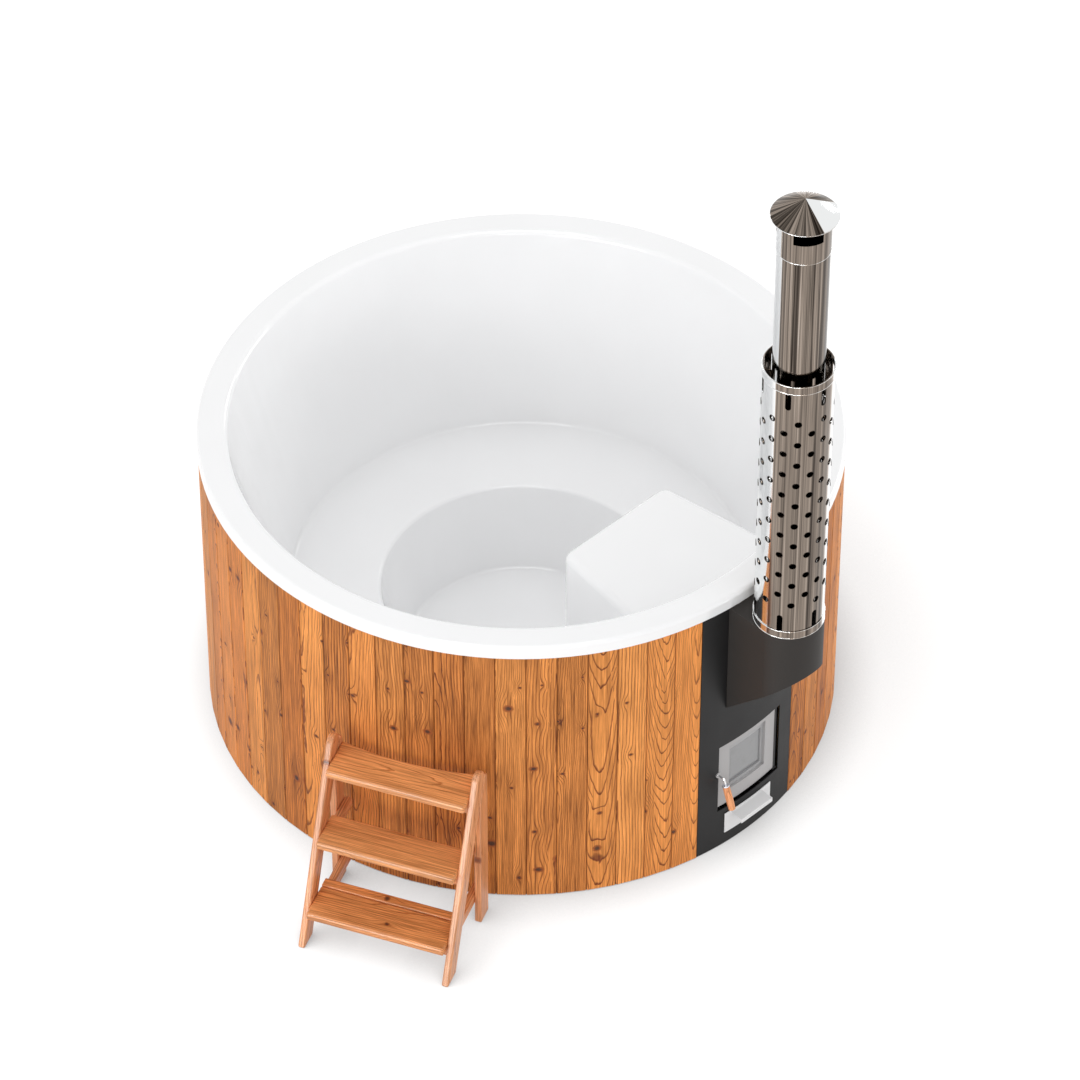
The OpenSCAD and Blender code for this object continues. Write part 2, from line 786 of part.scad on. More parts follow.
module flue_collar() {
    color(dark_steel) translate([0, -flue_d, 0]) tube(collar_r, collar_r - 3, housing_top - 20, housing_top + collar_l);
}

module flue_pipe() {
    color(bright_steel) translate([0, -flue_d, 0]) tube(pipe_r, pipe_r - pipe_t, housing_top, pipe_top);
}

// A slot's outline with round ends, in the X-Z plane of a column
function slot_outline(w, l) =
    let (n = 8, r = w / 2)
    concat([for (i = [0:n]) [r * cos(180 * i / n), l / 2 - r + r * sin(180 * i / n)]],
           [for (i = [0:n]) [-r * cos(180 * i / n), -l / 2 + r - r * sin(180 * i / n)]]);

guard_z0 = housing_top + seat;
band_t = 1.5;
slot_under = 12;       // how far a slot runs on under its band
slot_turn = -2.5;

module heat_guard() {
    reach = guard_r + past;
    color(bright_steel) translate([0, -flue_d, 0]) difference() {
        tube(guard_r, guard_r - guard_t, guard_z0, guard_top);
        for (c = [0:hole_columns - 1]) facing(c * 360 / hole_columns)
            for (k = [0:hole_rows - 1 - c % 2])
                rod_y(hole_r, 0, hole_low_z + (k + (c % 2) / 2) * hole_pitch, -reach, -guard_r + 10);
        for (c = [0:slot_count - 1]) facing(slot_turn + c * 360 / slot_count)
            for (z = [guard_z0 + band_h + slot_l / 2 - slot_under / 2, guard_top - band_h - slot_l / 2 + slot_under / 2])
                translate([0, -guard_r + 10, z]) rotate([90, 0, 0])
                    linear_extrude(reach - guard_r + 10) polygon(slot_outline(slot_w, slot_l + slot_under));
    }
}

module guard_band(z0) {
    color(bright_steel) translate([0, -flue_d, 0]) tube(guard_r + band_t + 0.2, guard_r + 0.1, z0, z0 + band_h);
}

module guard_spacers() {
    color(bright_steel) translate([0, -flue_d, 0]) for (z = [guard_z0 + 90, guard_top - 110]) for (k = [0:2])
        facing(30 + k * 120 + 180 / hole_columns)
            rod_y(3, 0, z, -guard_r + guard_t + 0.2, -pipe_r - 0.2);
}

module cap_collar() {
    inner = pipe_r + 0.3;
    outer = inner + 1.2;
    top = cap_z + (cap_r - outer) * tan(cap_slope) - 1.6;
    color(bright_steel) translate([0, -flue_d, 0]) difference() {
        tube(outer, inner, cap_collar_z, top);
        for (k = [0:cap_windows - 1])
            rotate([0, 0, cap_turn - 90 - cap_window_angle / 2 + k * 360 / cap_windows])
                translate([0, 0, cap_window_z]) rotate_extrude(angle = cap_window_angle)
                    translate([inner - past, 0]) square([outer - inner + 2 * past, cap_window_h]);
    }
}

module cap_cone() {
    wall = 1.5;
    rise = cap_r * tan(cap_slope);
    color(bright_steel) translate([0, -flue_d, cap_z]) rotate_extrude()
        polygon([[0, rise], [cap_r, 0], [cap_r - wall, 0], [0, rise - wall * tan(cap_slope)]]);
}

// ---- drain, on the far side from the heater --------------------------------------------

drain_tail_r = 22;
socket_r = drain_pipe_r + 2.5;
socket_l = 45;
socket_stop = 12;      // where the socket's wider bore starts
drain_bore = drain_pipe_r - drain_wall;
valve_y0 = tub_r + 4;
valve_y1 = valve_y0 + valve_l;

module drain_strainer() {
    flange_r = 38;
    color(grey_steel) translate([drain_x, drain_y, floor_z]) difference() {
        cylinder(r1 = flange_r, r2 = flange_r - 3, h = 3);
        for (ring = [[10, 6], [19, 12]]) for (i = [0:ring[1] - 1]) rotate([0, 0, i * 360 / ring[1]])
            translate([ring[0], 0, -past]) cylinder(r = 2.5, h = 3 + 2 * past, $fn = 24);
    }
}

module drain_elbow() {
    color(grey_steel) difference() {
        union() {
            translate([drain_x, drain_y, drain_z])
                cylinder(r = drain_tail_r, h = floor_z - drain_z - seat, $fn = hole_fn);
            rod_y(socket_r, drain_x, drain_z, drain_y, drain_y + socket_l);
            translate([drain_x, drain_y, drain_z]) sphere(r = drain_tail_r - 2, $fn = hole_fn);
        }
        translate([drain_x, drain_y, drain_z]) cylinder(r = drain_pipe_r, h = floor_z, $fn = hole_fn);
        rod_y(drain_pipe_r + 0.02, drain_x, drain_z, drain_y + socket_stop, drain_y + socket_l + past);
        rod_y(drain_bore, drain_x, drain_z, drain_y, drain_y + socket_l);
    }
}

module drain_pipe() {
    color(grey_steel) difference() {
        rod_y(drain_pipe_r, drain_x, drain_z, drain_y + socket_stop + 6, valve_y0);
        rod_y(drain_bore, drain_x, drain_z, drain_y + socket_stop + 5, valve_y0 + past);
    }
}

stem_r = 5;
stem_z = drain_z + drain_pipe_r + 8;

module valve_body() {
    flat_r = 20;
    mid = (valve_y0 + valve_y1) / 2;
    color(brass) difference() {
        union() {
            for (y = [valve_y0, valve_y1 - 14]) translate([drain_x, y, drain_z]) rotate([-90, 30, 0])
                cylinder(r = flat_r, h = 14, $fn = 6);
            rod_y(flat_r - 3, drain_x, drain_z, valve_y0 + 7, valve_y1 - 7);
            translate([drain_x, mid, drain_z]) cylinder(r = 9, h = stem_z - drain_z, $fn = hole_fn);
        }
        rod_y(drain_bore, drain_x, drain_z, valve_y0 - past, valve_y1 + past);
        translate([drain_x, mid, stem_z - 6]) cylinder(r = stem_r + run, h = 6 + past, $fn = hole_fn);
    }
}

module valve_lever() {
    mid = (valve_y0 + valve_y1) / 2;
    color([0.7, 0.1, 0.08]) translate([drain_x, mid, 0]) union() {
        translate([0, 0, stem_z - 5.5]) cylinder(r = stem_r, h = 6, $fn = hole_fn);
        translate([0, 0, stem_z + 0.4]) linear_extrude(3)
            polygon(rounded_outline([[-12, -10], [lever_l, -7], [lever_l, 7], [-12, 10]], 5));
    }
}

module hose_tail() {
    color(brass) difference() {
        rod_y(drain_pipe_r, drain_x, drain_z, valve_y1, valve_y1 + tail_l);
        rod_y(drain_bore, drain_x, drain_z, valve_y1 - past, valve_y1 + tail_l + past);
    }
}

// ---- fire door -------------------------------------------------------------------------

door_x = door_w / 2;
window_x = window_w / 2;
glass_open_x = window_x - ledge_w;
glass_open_z0 = window_z0 + ledge_w + 2;
glass_open_z1 = window_z1 - ledge_top_w;
glass_front = door_mid_r - 6;
glass_edge = 7;
back_x = throat_x + neck_t;

module door_face() {
    color(grey_steel) difference() {
        union() {
            curved_plate(door_r, door_mid_r, -door_x, door_x, door_z0, door_z1);
            rod_y(boss_r, -latch_x, latch_z, -door_r, -door_mid_r + 12);
        }
        curved_plate(door_r + past, door_mid_r - past, -window_x, window_x, window_z0, window_z1);
        rod_y(rod_r + run, -latch_x, latch_z, -door_r - past, -door_mid_r + 12 + past);
    }
}

module door_back() {
    color(grey_steel) difference() {
        curved_plate(door_mid_r, door_inner_r, -back_x, back_x, throat_z0 - neck_t, throat_z1 + neck_t);
        box([-glass_open_x, -door_r, glass_open_z0], [glass_open_x, -door_inner_r * 0.9, glass_open_z1]);
        box([-glass_open_x - glass_edge, -glass_front, glass_open_z0 - glass_edge],
            [glass_open_x + glass_edge, -door_inner_r * 0.9, glass_open_z1 + glass_edge]);
        rod_y(boss_r + seat, -latch_x, latch_z, -door_r, -door_mid_r + 13);
    }
}

module door_glass() {
    e = glass_edge - seat;
    color([0.6, 0.63, 0.65, 0.6]) box([-glass_open_x - e, -glass_front + 0.1, glass_open_z0 - e],
        [glass_open_x + e, -glass_front + 0.1 + glass_t, glass_open_z1 + e]);
}

module glass_retainer() {
    e = glass_edge - seat;
    y0 = -glass_front + glass_t + 0.3;
    color(dark_steel) difference() {
        box([-glass_open_x - e, y0, glass_open_z0 - e], [glass_open_x + e, y0 + 2, glass_open_z1 + e]);
        box([-glass_open_x, y0 - past, glass_open_z0], [glass_open_x, y0 + 2 + past, glass_open_z1]);
    }
}

module door_seal() {
    w = 8;
    color([0.2, 0.2, 0.19]) difference() {
        curved_plate(door_inner_r - 0.1, neck_r + seat, -throat_x - w - 1, throat_x + w + 1,
            throat_z0 - w - 1, throat_z1 + w + 1);
        box([-throat_x - 1, -tub_r, throat_z0 - 1], [throat_x + 1, -neck_r * 0.9, throat_z1 + 1]);
    }
}

module hinge_barrel() {
    color(dark_steel) difference() {
        union() {
            translate([hinge_x, -hinge_y, door_z0 + 1]) cylinder(r = barrel_r, h = door_z1 - door_z0 - 2, $fn = hole_fn);
            box([door_x + 0.2, -hinge_y - 3, door_z0 + 12], [hinge_x, -hinge_y + 3, door_z1 - 12]);
        }
        translate([hinge_x, -hinge_y, 0]) cylinder(r = hinge_pin_r + run, h = door_z1 + past, $fn = hole_fn);
    }
}

// ---- door latch --------------------------------------------------------------------------

rod_inner_y = door_mid_r - 26;
bend_y = door_r + rod_reach;
bend_angle = 90 - grip_tilt;
bend_end = [bend_y + rod_bend_r * sin(bend_angle), latch_z - rod_bend_r * (1 - cos(bend_angle))];
ferrule_t = 4;

// Places its children with -Z along the hanging grip, at a distance along it from the bend's end
module along_grip(distance) {
    translate([-latch_x, -bend_end[0], bend_end[1]]) rotate([-grip_tilt, 0, 0]) translate([0, 0, -distance])
        children();
}

module latch_arm() {
    color(grey_steel) union() {
        rod_y(rod_r, -latch_x, latch_z, -bend_y, -rod_inner_y);
        translate([-latch_x, -bend_y, latch_z - rod_bend_r]) rotate([0, 0, 180]) rotate([0, -90, 0])
            rotate_extrude(angle = bend_angle) translate([rod_bend_r, 0]) circle(r = rod_r, $fn = hole_fn);
        along_grip(rod_tail) cylinder(r = rod_r - 0.1, h = rod_tail + 0.3, $fn = hole_fn);
    }
}

module latch_ferrule() {
    color(grey_steel) along_grip(rod_tail + ferrule_t) cylinder(r = grip_r, h = ferrule_t - 0.1, $fn = hole_fn);
}

module latch_grip() {
    color(timber) along_grip(rod_tail + ferrule_t + grip_l) cylinder(r = grip_r, h = grip_l, $fn = hole_fn);
}

module latch_cam() {
    high = latch_x - back_x - seat;
    color(dark_steel) difference() {
        hull() {
            rod_y(high / 2, -latch_x + high / 2, latch_z, -rod_inner_y - 8, -rod_inner_y - 1);
            rod_y(7, -latch_x, latch_z, -rod_inner_y - 8, -rod_inner_y - 1);
        }
        rod_y(rod_r, -latch_x, latch_z, -rod_inner_y - 10, -rod_inner_y + 1);
    }
}

// Angle bracket on the heater's front; the cam swings up behind its lip when the grip is turned
module latch_keeper() {
    low = latch_z + 10;
    high = low + 16;
    wall = 2.5;
    front = rod_inner_y + 9.5;
    color(dark_steel) difference() {
        box([-latch_x - 9, -front - wall, low], [-latch_x + 11, -heater_front, high]);
        box([-latch_x - 9 - past, -front, low - past], [-latch_x + 11 + past, -heater_front + past, high - wall]);
    }
}

// ---- ash drawer ----------------------------------------------------------------------------

front_r = tub_r + 0.8;
tray_top = drawer_z0 + drawer_h - 8;

module ash_tray() {
    y0 = -tub_r + 3;
    y1 = -heater_front + tray_l;
    color(dark_steel) difference() {
        box([-tray_w / 2, y0, tray_z0], [tray_w / 2, y1, tray_top]);
        box([-tray_w / 2 + drawer_t, y0 - past, tray_z0 + drawer_t], [tray_w / 2 - drawer_t, y1 - drawer_t, tray_top + past]);
    }
}

module drawer_front() {
    color(grey_steel) union() {
        curved_plate(front_r + drawer_t + 1, front_r, -drawer_w / 2, drawer_w / 2, drawer_z0, drawer_z0 + drawer_h);
        curved_plate(front_r + 0.1, tub_r - 4, -tray_w / 2 + drawer_t + 1, tray_w / 2 - drawer_t - 1, tray_z0 + drawer_t + 1, tray_top);
    }
}

module drawer_pull() {
    top = drawer_z0 + drawer_h - 4;
    rear = front_r + drawer_t + 1.1;
    x0 = -pull_w / 2 - pull_shift;
    x1 = pull_w / 2 - pull_shift;
    color(grey_steel) difference() {
        union() {
            box([x0, -rear - pull_d, top - drawer_t], [x1, -rear * 0.95, top]);
            box([x0, -rear - pull_d, top - pull_lip], [x1, -rear - pull_d + drawer_t, top]);
        }
        cylinder(r = rear, h = rim_top);
    }
}

// ---- steps -----------------------------------------------------------------------------------

steps_x = steps_w / 2;
lean = tan(stringer_lean);
side_run = side_w / cos(stringer_lean);
nose_d = [for (k = [0:2]) foot_d - lean * (tread_low_z + k * tread_rise) + nose_out];

// Turns and shifts its children from beside the -Y line to where the steps stand
module at_steps() {
    facing(steps_angle) translate([steps_shift, 0, 0]) children();
}

// Extrudes a side view, given as distance from the tub and height, from x0 over a thickness
module side_view(pts, x0, t) {
    translate([x0 + t, 0, 0]) rotate([90, 0, -90]) linear_extrude(t) polygon(pts);
}

function stringer_d(z) = foot_d - lean * z;

// Side view of a stringer: level foot, straight edges and a rounded end
stringer_end = stringer_top - side_w / 2;
stringer_mid = stringer_d(stringer_end) - side_run / 2;
stringer_pts = concat(
    [[foot_d - side_run, 0], [foot_d, 0]],
    [for (i = [0:12]) [stringer_mid, stringer_end] + side_w / 2 * [cos(stringer_lean + 180 * i / 12), sin(stringer_lean + 180 * i / 12)]]);

module stair_stringers() {
    color(timber) at_steps() for (x = [-steps_x - side_t, steps_x]) side_view(stringer_pts, x, side_t);
}

module stair_legs() {
    front = leg_d + side_w;
    meet = (foot_d - side_run - seat - front) / lean;
    high = stringer_top - side_w / 2;
    high_d = foot_d - side_run - seat - lean * high;
    color(timber) at_steps() for (x = [-steps_x - side_t, steps_x])
        side_view([[leg_d, 0], [front, 0], [front, meet], [high_d, high], [leg_d, high - 15]], x, side_t);
}

// Rails lie inside the stringers and legs, under the treads
module side_rails() {
    color(timber) at_steps() for (k = [0:2]) {
        z = tread_low_z + k * tread_rise - tread_t;
        front = stringer_d(z) - 8;
        for (x = [-steps_x, steps_x - rail_w])
            box([x, -front, z - rail_h], [x + rail_w, -leg_d - (k == 2 ? tread_wall_gap / 2 : -4), z]);
    }
}

module tread(front_d, depth, top) {
    low = top - tread_t;
    pts = rounded_line([[front_d - depth, low], [front_d, low], [front_d, top], [front_d - depth, top]],
        [nose_r * 0.6, nose_r]);
    side_view(pts, -steps_x + seat, steps_w - 2 * seat);
}

module bottom_tread() {
    color(timber) at_steps() tread(nose_d[0], tread_d, tread_low_z);
}

module middle_tread() {
    color(timber) at_steps() tread(nose_d[1], tread_d + 6, tread_low_z + tread_rise);
}

module top_tread() {
    color(timber) at_steps() difference() {
        tread(nose_d[2], nose_d[2] - leg_d + 4, tread_low_z + 2 * tread_rise);
        translate([-steps_shift, 0, 0]) cylinder(r = tub_r + tread_wall_gap, h = rim_top);
    }
}

module back_slat() {
    d1 = nose_d[0] - tread_d - 3;
    top = tread_low_z;
    color(timber) at_steps()
        box([-steps_x + seat, -d1, top - tread_t], [steps_x - seat, -d1 + slat_d, top]);
}

tub_shell();
cladding_boards();
wall_formers();
wall_studs();
base_skids();
deck_planks();
drain_plank_front();
drain_plank_back();
seat_posts();
heater_panel();
heater_body();
fire_grate();
water_pipes();
pipe_gaskets();
water_grilles();
door_neck();
smoke_duct();
hinge_lugs();
hinge_pin();
drawer_runners();
flue_housing();
flue_collar();
flue_pipe();
heat_guard();
guard_band(guard_top - band_h);  // guard_top_band
guard_band(guard_z0);  // guard_bottom_band
guard_spacers();
cap_collar();
cap_cone();
drain_strainer();
drain_elbow();
drain_pipe();
valve_body();
hose_tail();
door_face();
door_back();
door_glass();
glass_retainer();
door_seal();
hinge_barrel();
latch_arm();
latch_ferrule();
latch_grip();
latch_cam();
latch_keeper();
ash_tray();
drawer_front();
drawer_pull();
valve_lever();
stair_stringers();
stair_legs();
side_rails();
back_slat();
top_tread();
middle_tread();
bottom_tread();
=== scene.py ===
"""Looks of a round wooden hot tub with its built-in heater, flue and steps, dressed over the packed frame."""

import logging
import math
from dataclasses import dataclass, field
from enum import Enum
from typing import Callable, Sequence

import bmesh
import bpy
from mathutils import Matrix, Vector


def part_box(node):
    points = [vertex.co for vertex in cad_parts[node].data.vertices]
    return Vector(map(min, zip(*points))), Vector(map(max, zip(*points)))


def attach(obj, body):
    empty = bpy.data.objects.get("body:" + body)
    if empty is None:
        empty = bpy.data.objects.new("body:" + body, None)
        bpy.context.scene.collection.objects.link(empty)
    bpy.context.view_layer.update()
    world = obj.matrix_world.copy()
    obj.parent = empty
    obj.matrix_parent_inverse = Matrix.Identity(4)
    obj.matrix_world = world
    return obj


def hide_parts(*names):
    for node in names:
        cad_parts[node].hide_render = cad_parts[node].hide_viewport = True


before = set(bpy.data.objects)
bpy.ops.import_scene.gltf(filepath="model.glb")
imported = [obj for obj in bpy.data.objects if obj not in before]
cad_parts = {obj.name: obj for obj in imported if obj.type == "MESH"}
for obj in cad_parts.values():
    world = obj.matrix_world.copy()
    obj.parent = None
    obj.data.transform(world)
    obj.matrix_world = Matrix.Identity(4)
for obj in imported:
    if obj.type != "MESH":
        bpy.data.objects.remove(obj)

LOG = logging.getLogger("hot_tub")
Colour = tuple[float, float, float]
Point = tuple[float, float, float]

TUB_R = 0.900
BOARD_T = 0.018
BOARD_LOW = 0.004
BOARD_TOP = 0.918
BOARD_COUNT = 63
PANEL_ANGLE = 23.5
BOARD_PITCH = (360.0 - PANEL_ANGLE) / BOARD_COUNT
FLUE_Y = -1.024
STEPS_ANGLE = -64.8
STEPS_SHIFT = 0.021
STRINGER_LEAN = 23.3
STRINGER_FOOT = 1.240
LEG_REACH = 0.95
TREAD_RISE = 0.196
GUARD_R = 0.095
HOLE_PITCH = 0.072
HOLE_R = 0.0095
GRIP_TILT = 20.0
GRIP_LENGTH = 0.077
GRIP_R = 0.0105
# The side that faces the camera; the painted reflections on the flue are laid out from it.
VIEW_SIDE = -44.5
MERGE_DISTANCE = 0.00003
FLAT_ANGLE = 0.4
FLUE_SMOOTH = 30.0
STEPS_SMOOTH = 34.0
NORMAL_WEIGHT = 80
TINY = 0.0001

# Painted reflections: tones from 0 (black) to 1 (white) by angle round the flue, standing in for what its
# mirror-bright steel reflects; the beads' table holds painted glints.
PIPE_PAINTED_REFLECTIONS = (
    (-90.0, 0.93), (-54.0, 0.95), (-51.0, 0.42), (-46.0, 0.52), (-34.0, 0.47), (-25.0, 0.52), (-21.0, 0.22),
    (-17.0, 0.40), (-12.0, 0.18), (-8.0, 0.47), (2.0, 0.55), (14.0, 0.50), (22.0, 0.36), (30.0, 0.47), (44.0, 0.40),
    (55.0, 0.45), (66.0, 0.28), (76.0, 0.40), (81.0, 0.92), (104.0, 0.90), (112.0, 0.45), (150.0, 0.55),
    (165.0, 0.25), (175.0, 0.50), (205.0, 0.56), (222.0, 0.30), (240.0, 0.50), (256.0, 0.90),
)
GUARD_PAINTED_REFLECTIONS = (
    (-90.0, 0.86), (-72.0, 0.97), (-41.0, 0.95), (-38.0, 0.34), (-35.0, 0.52), (-20.0, 0.47), (-8.0, 0.53),
    (8.0, 0.51), (24.0, 0.50), (28.0, 0.34), (33.0, 0.48), (50.0, 0.50), (57.0, 0.40), (62.0, 0.62), (68.0, 0.95),
    (98.0, 0.90), (106.0, 0.42), (140.0, 0.52), (170.0, 0.46), (182.0, 0.28), (190.0, 0.52), (226.0, 0.50),
    (240.0, 0.40), (252.0, 0.80),
)
COLLAR_PAINTED_REFLECTIONS = (
    (-90.0, 0.90), (-58.0, 0.94), (-52.0, 0.36), (-44.0, 0.50), (-20.0, 0.44), (-10.0, 0.52), (12.0, 0.54),
    (30.0, 0.44), (52.0, 0.50), (70.0, 0.40), (82.0, 0.66), (110.0, 0.50), (180.0, 0.45), (240.0, 0.60),
)
CONE_PAINTED_REFLECTIONS = (
    (-112.0, 0.46), (-102.0, 0.74), (-97.0, 0.30), (-88.0, 0.56), (-82.0, 0.20), (-72.0, 0.36), (-66.0, 0.24),
    (-55.0, 0.40), (-50.0, 0.26), (-40.0, 0.44), (-33.0, 0.30), (-25.0, 0.56), (-19.0, 0.36), (-11.0, 0.52),
    (-6.0, 0.34), (1.0, 0.64), (6.0, 0.42), (12.0, 0.58), (17.0, 0.24), (26.0, 0.20), (30.5, 0.10), (32.0, 0.97),
    (120.0, 0.95), (124.0, 0.20), (132.0, 0.44), (142.0, 0.30), (156.0, 0.52), (180.0, 0.60), (206.0, 0.50),
    (228.0, 0.40),
)
BEAD_PAINTED_REFLECTIONS = ((-90.0, 0.9), (-30.0, 0.85), (10.0, 0.72), (40.0, 0.80), (90.0, 0.90), (180.0, 0.80))


class Body(str, Enum):
    """The moving bodies of the packed frame."""

    TUB = "tub"
    DOOR = "door"
    LATCH = "latch"
    DRAWER = "ash_drawer"
    LEVER = "valve_lever"
    STEPS = "steps"


# ---- shader expressions ---------------------------------------------------


def _operation(kind: str, meaning: str, swap: bool = False) -> Callable[..., "Value"]:
    """Makes a method of Value that adds one Math node.

    Args:
        kind: the node's operation.
        meaning: the method's docstring.
        swap: puts the value after the first operand.

    Returns:
        The method.
    """

    def method(self: "Value", *others: "Value | float") -> "Value":
        """Adds the node and returns its result."""
        return self._math(kind, *others, swap=swap)

    method.__doc__ = meaning
    return method


class Value:
    """A shader socket that takes part in Python expressions."""

    def __init__(self, graph: "Graph", socket: bpy.types.NodeSocket) -> None:
        """Keeps the socket and the graph that new nodes go into."""
        self.graph = graph
        self.socket = socket

    def _math(self, operation: str, *others: "Value | float", swap: bool = False) -> "Value":
        """Adds a Math node.

        Args:
            operation: the node's operation.
            others: the operands after this one.
            swap: puts this value after the first operand.

        Returns:
            The node's result.
        """
        operands: list[Value | float] = [self, *others]
        if swap:
            operands.reverse()
        return self.graph.node("ShaderNodeMath", {"operation": operation}, dict(enumerate(operands)))

    __add__ = __radd__ = _operation("ADD", "Sum.")
    __sub__ = _operation("SUBTRACT", "Difference.")
    __rsub__ = _operation("SUBTRACT", "Difference with the number first.", swap=True)
    __mul__ = __rmul__ = _operation("MULTIPLY", "Product.")
    __truediv__ = _operation("DIVIDE", "Quotient.")
    __pow__ = _operation("POWER", "Power.")
    above = _operation("GREATER_THAN", "1 where the value is above the edge, else 0.")
    fraction = _operation("FRACT", "The part after the decimal point.")
    root = _operation("SQRT", "Square root.")
    size = _operation("ABSOLUTE", "The value without its sign.")
    sine = _operation("SINE", "Sine of the value in radians.")

    def __neg__(self) -> "Value":
        """The value with its sign turned."""
        return self * -1.0

    def decay(self) -> "Value":
        """e to the power of minus the value."""
        return (-self)._math("EXPONENT")

    def bearing(self, other: "Value") -> "Value":
        """The angle of the point (other, self) as a share of a full turn, 0 to 1."""
        return (self._math("ARCTAN2", other) / (2 * math.pi)).fraction()

    def step(self, low: "Value | float", high: "Value | float") -> "Value":
        """Smooth step from 0 at low to 1 at high.

        Args:
            low: where the step starts.
            high: where the step ends; it may lie below low.

        Returns:
            The stepped value.
        """
        return self.graph.node(
            "ShaderNodeMapRange",
            {"interpolation_type": "SMOOTHSTEP"},
            {"Value": self, "From Min": low, "From Max": high},
        )


class Graph:
    """The node tree of one material."""

    def __init__(self, name: str, owner: bpy.types.ID | None = None) -> None:
        """Starts an empty tree in a new material, or in the given owner such as a world."""
        self.material = owner or bpy.data.materials.new(name)
        self.material.use_nodes = True
        self.tree = self.material.node_tree
        self.tree.nodes.clear()

    def node(
        self,
        kind: str,
        settings: dict[str, object] | None = None,
        inputs: "dict[str | int, object] | None" = None,
        out: str | int = 0,
    ) -> Value:
        """Adds a node of any type.

        Args:
            kind: the node's type name.
            settings: properties set before the sockets; "stops" fills a colour ramp.
            inputs: values or links by socket name or number.
            out: which output is returned.

        Returns:
            The chosen output.
        """
        made = self.tree.nodes.new(kind)
        for key, value in (settings or {}).items():
            if key == "stops":
                self._fill_ramp(made.color_ramp, value)
            else:
                setattr(made, key, value)
        for key, value in (inputs or {}).items():
            socket = made.inputs[key]
            if isinstance(value, Value):
                self.tree.links.new(value.socket, socket)
            else:
                socket.default_value = value
        return Value(self, made.outputs[out])

    @staticmethod
    def _fill_ramp(ramp: bpy.types.ColorRamp, stops: Sequence[tuple[float, Colour]]) -> None:
        """Replaces a ramp's stops by the given places and colours."""
        while len(ramp.elements) > 1:
            ramp.elements.remove(ramp.elements[-1])
        ramp.elements[0].position = stops[0][0]
        ramp.elements[0].color = (*stops[0][1], 1.0)
        for place, colour in stops[1:]:
            ramp.elements.new(place).color = (*colour, 1.0)

    def ramp(self, value: Value, stops: Sequence[tuple[float, Colour]]) -> Value:
        """A colour that follows a value through the given stops."""
        return self.node("ShaderNodeValToRGB", {"stops": stops}, {"Fac": value})

    def noise(self, vector: Value, scale: float, detail: float = 2.0, rough: float = 0.5) -> Value:
        """Noise from 0 to 1 at a scale in features a metre."""
        return self.node(
            "ShaderNodeTexNoise", None, {"Vector": vector, "Scale": scale, "Detail": detail, "Roughness": rough}
        )

    def combine(self, x: Value | float, y: Value | float, z: Value | float) -> Value:
        """A vector of three values."""
        return self.node("ShaderNodeCombineXYZ", None, {0: x, 1: y, 2: z})

    def split(self, vector: Value) -> tuple[Value, Value, Value]:
        """The three parts of a vector."""
        made = self.node("ShaderNodeSeparateXYZ", None, {0: vector})
        outs = made.socket.node.outputs
        return Value(self, outs[0]), Value(self, outs[1]), Value(self, outs[2])

    def mix(self, share: Value | float, low: "Value | Colour", high: "Value | Colour", blend: str = "MIX") -> Value:
        """A colour between two colours.

        Args:
            share: 0 for the first colour, 1 for the second.
            low: the first colour.
            high: the second colour.
            blend: the Mix node's blend type.

        Returns:
            The mixed colour.
        """
        made = self.tree.nodes.new("ShaderNodeMix")
        made.data_type = "RGBA"
        made.blend_type = blend
        made.clamp_result = False
        for index, value in ((0, share), (6, low), (7, high)):
            if isinstance(value, Value):
                self.tree.links.new(value.socket, made.inputs[index])
            elif index == 0:
                made.inputs[0].default_value = float(value)
            else:
                made.inputs[index].default_value = (*value, 1.0)
        return Value(self, made.outputs[2])

    def place(self, centre: Point = (0.0, 0.0, 0.0), turn: Point = (0.0, 0.0, 0.0)) -> Value:
        """Object coordinates about a centre, turned by angles in degrees."""
        here = self.node("ShaderNodeTexCoord", None, None, "Object")
        angles = tuple(math.radians(a) for a in turn)
        return self.node(
            "ShaderNodeMapping",
            {"vector_type": "TEXTURE"},
            {"Vector": here, "Location": centre, "Rotation": angles},
        )

    def attribute(self, name: str, out: str) -> Value:
        """An attribute stored on the mesh."""
        return self.node("ShaderNodeAttribute", {"attribute_name": name}, None, out)

    def shaded(self, colour: Colour, shade: Value) -> Value:
        """A colour made darker or lighter by a grey factor."""
        return self.mix(1.0, colour, self.combine(shade, shade, shade), "MULTIPLY")

    def bump(self, height: Value, depth: float, strength: float = 1.0) -> Value:
        """A normal bent by a height from 0 to 1 that stands for a depth in metres."""
        return self.node("ShaderNodeBump", None, {"Height": height, "Distance": depth, "Strength": strength})

    def surface(self, **inputs: object) -> bpy.types.Material:
        """Ends the tree in one Principled shader.

        Args:
            inputs: the shader's sockets, with _ for a space.

        Returns:
            The finished material.
        """
        named = {key.replace("_", " "): value for key, value in inputs.items()}
        shader = self.node("ShaderNodeBsdfPrincipled", None, {k: _rgba(v) for k, v in named.items()})
        self.end(shader)
        return self.material

    def end(self, shader: Value, kind: str = "ShaderNodeOutputMaterial") -> None:
        """Links a shader to the tree's output."""
        end = self.tree.nodes.new(kind)
        self.tree.links.new(shader.socket, end.inputs["Surface"])


def _rgba(value: object) -> object:
    """Adds the fourth number to a plain colour."""
    return (*value, 1.0) if isinstance(value, tuple) and len(value) == 3 else value


# ---- finishes ---------------------------------------------------------------


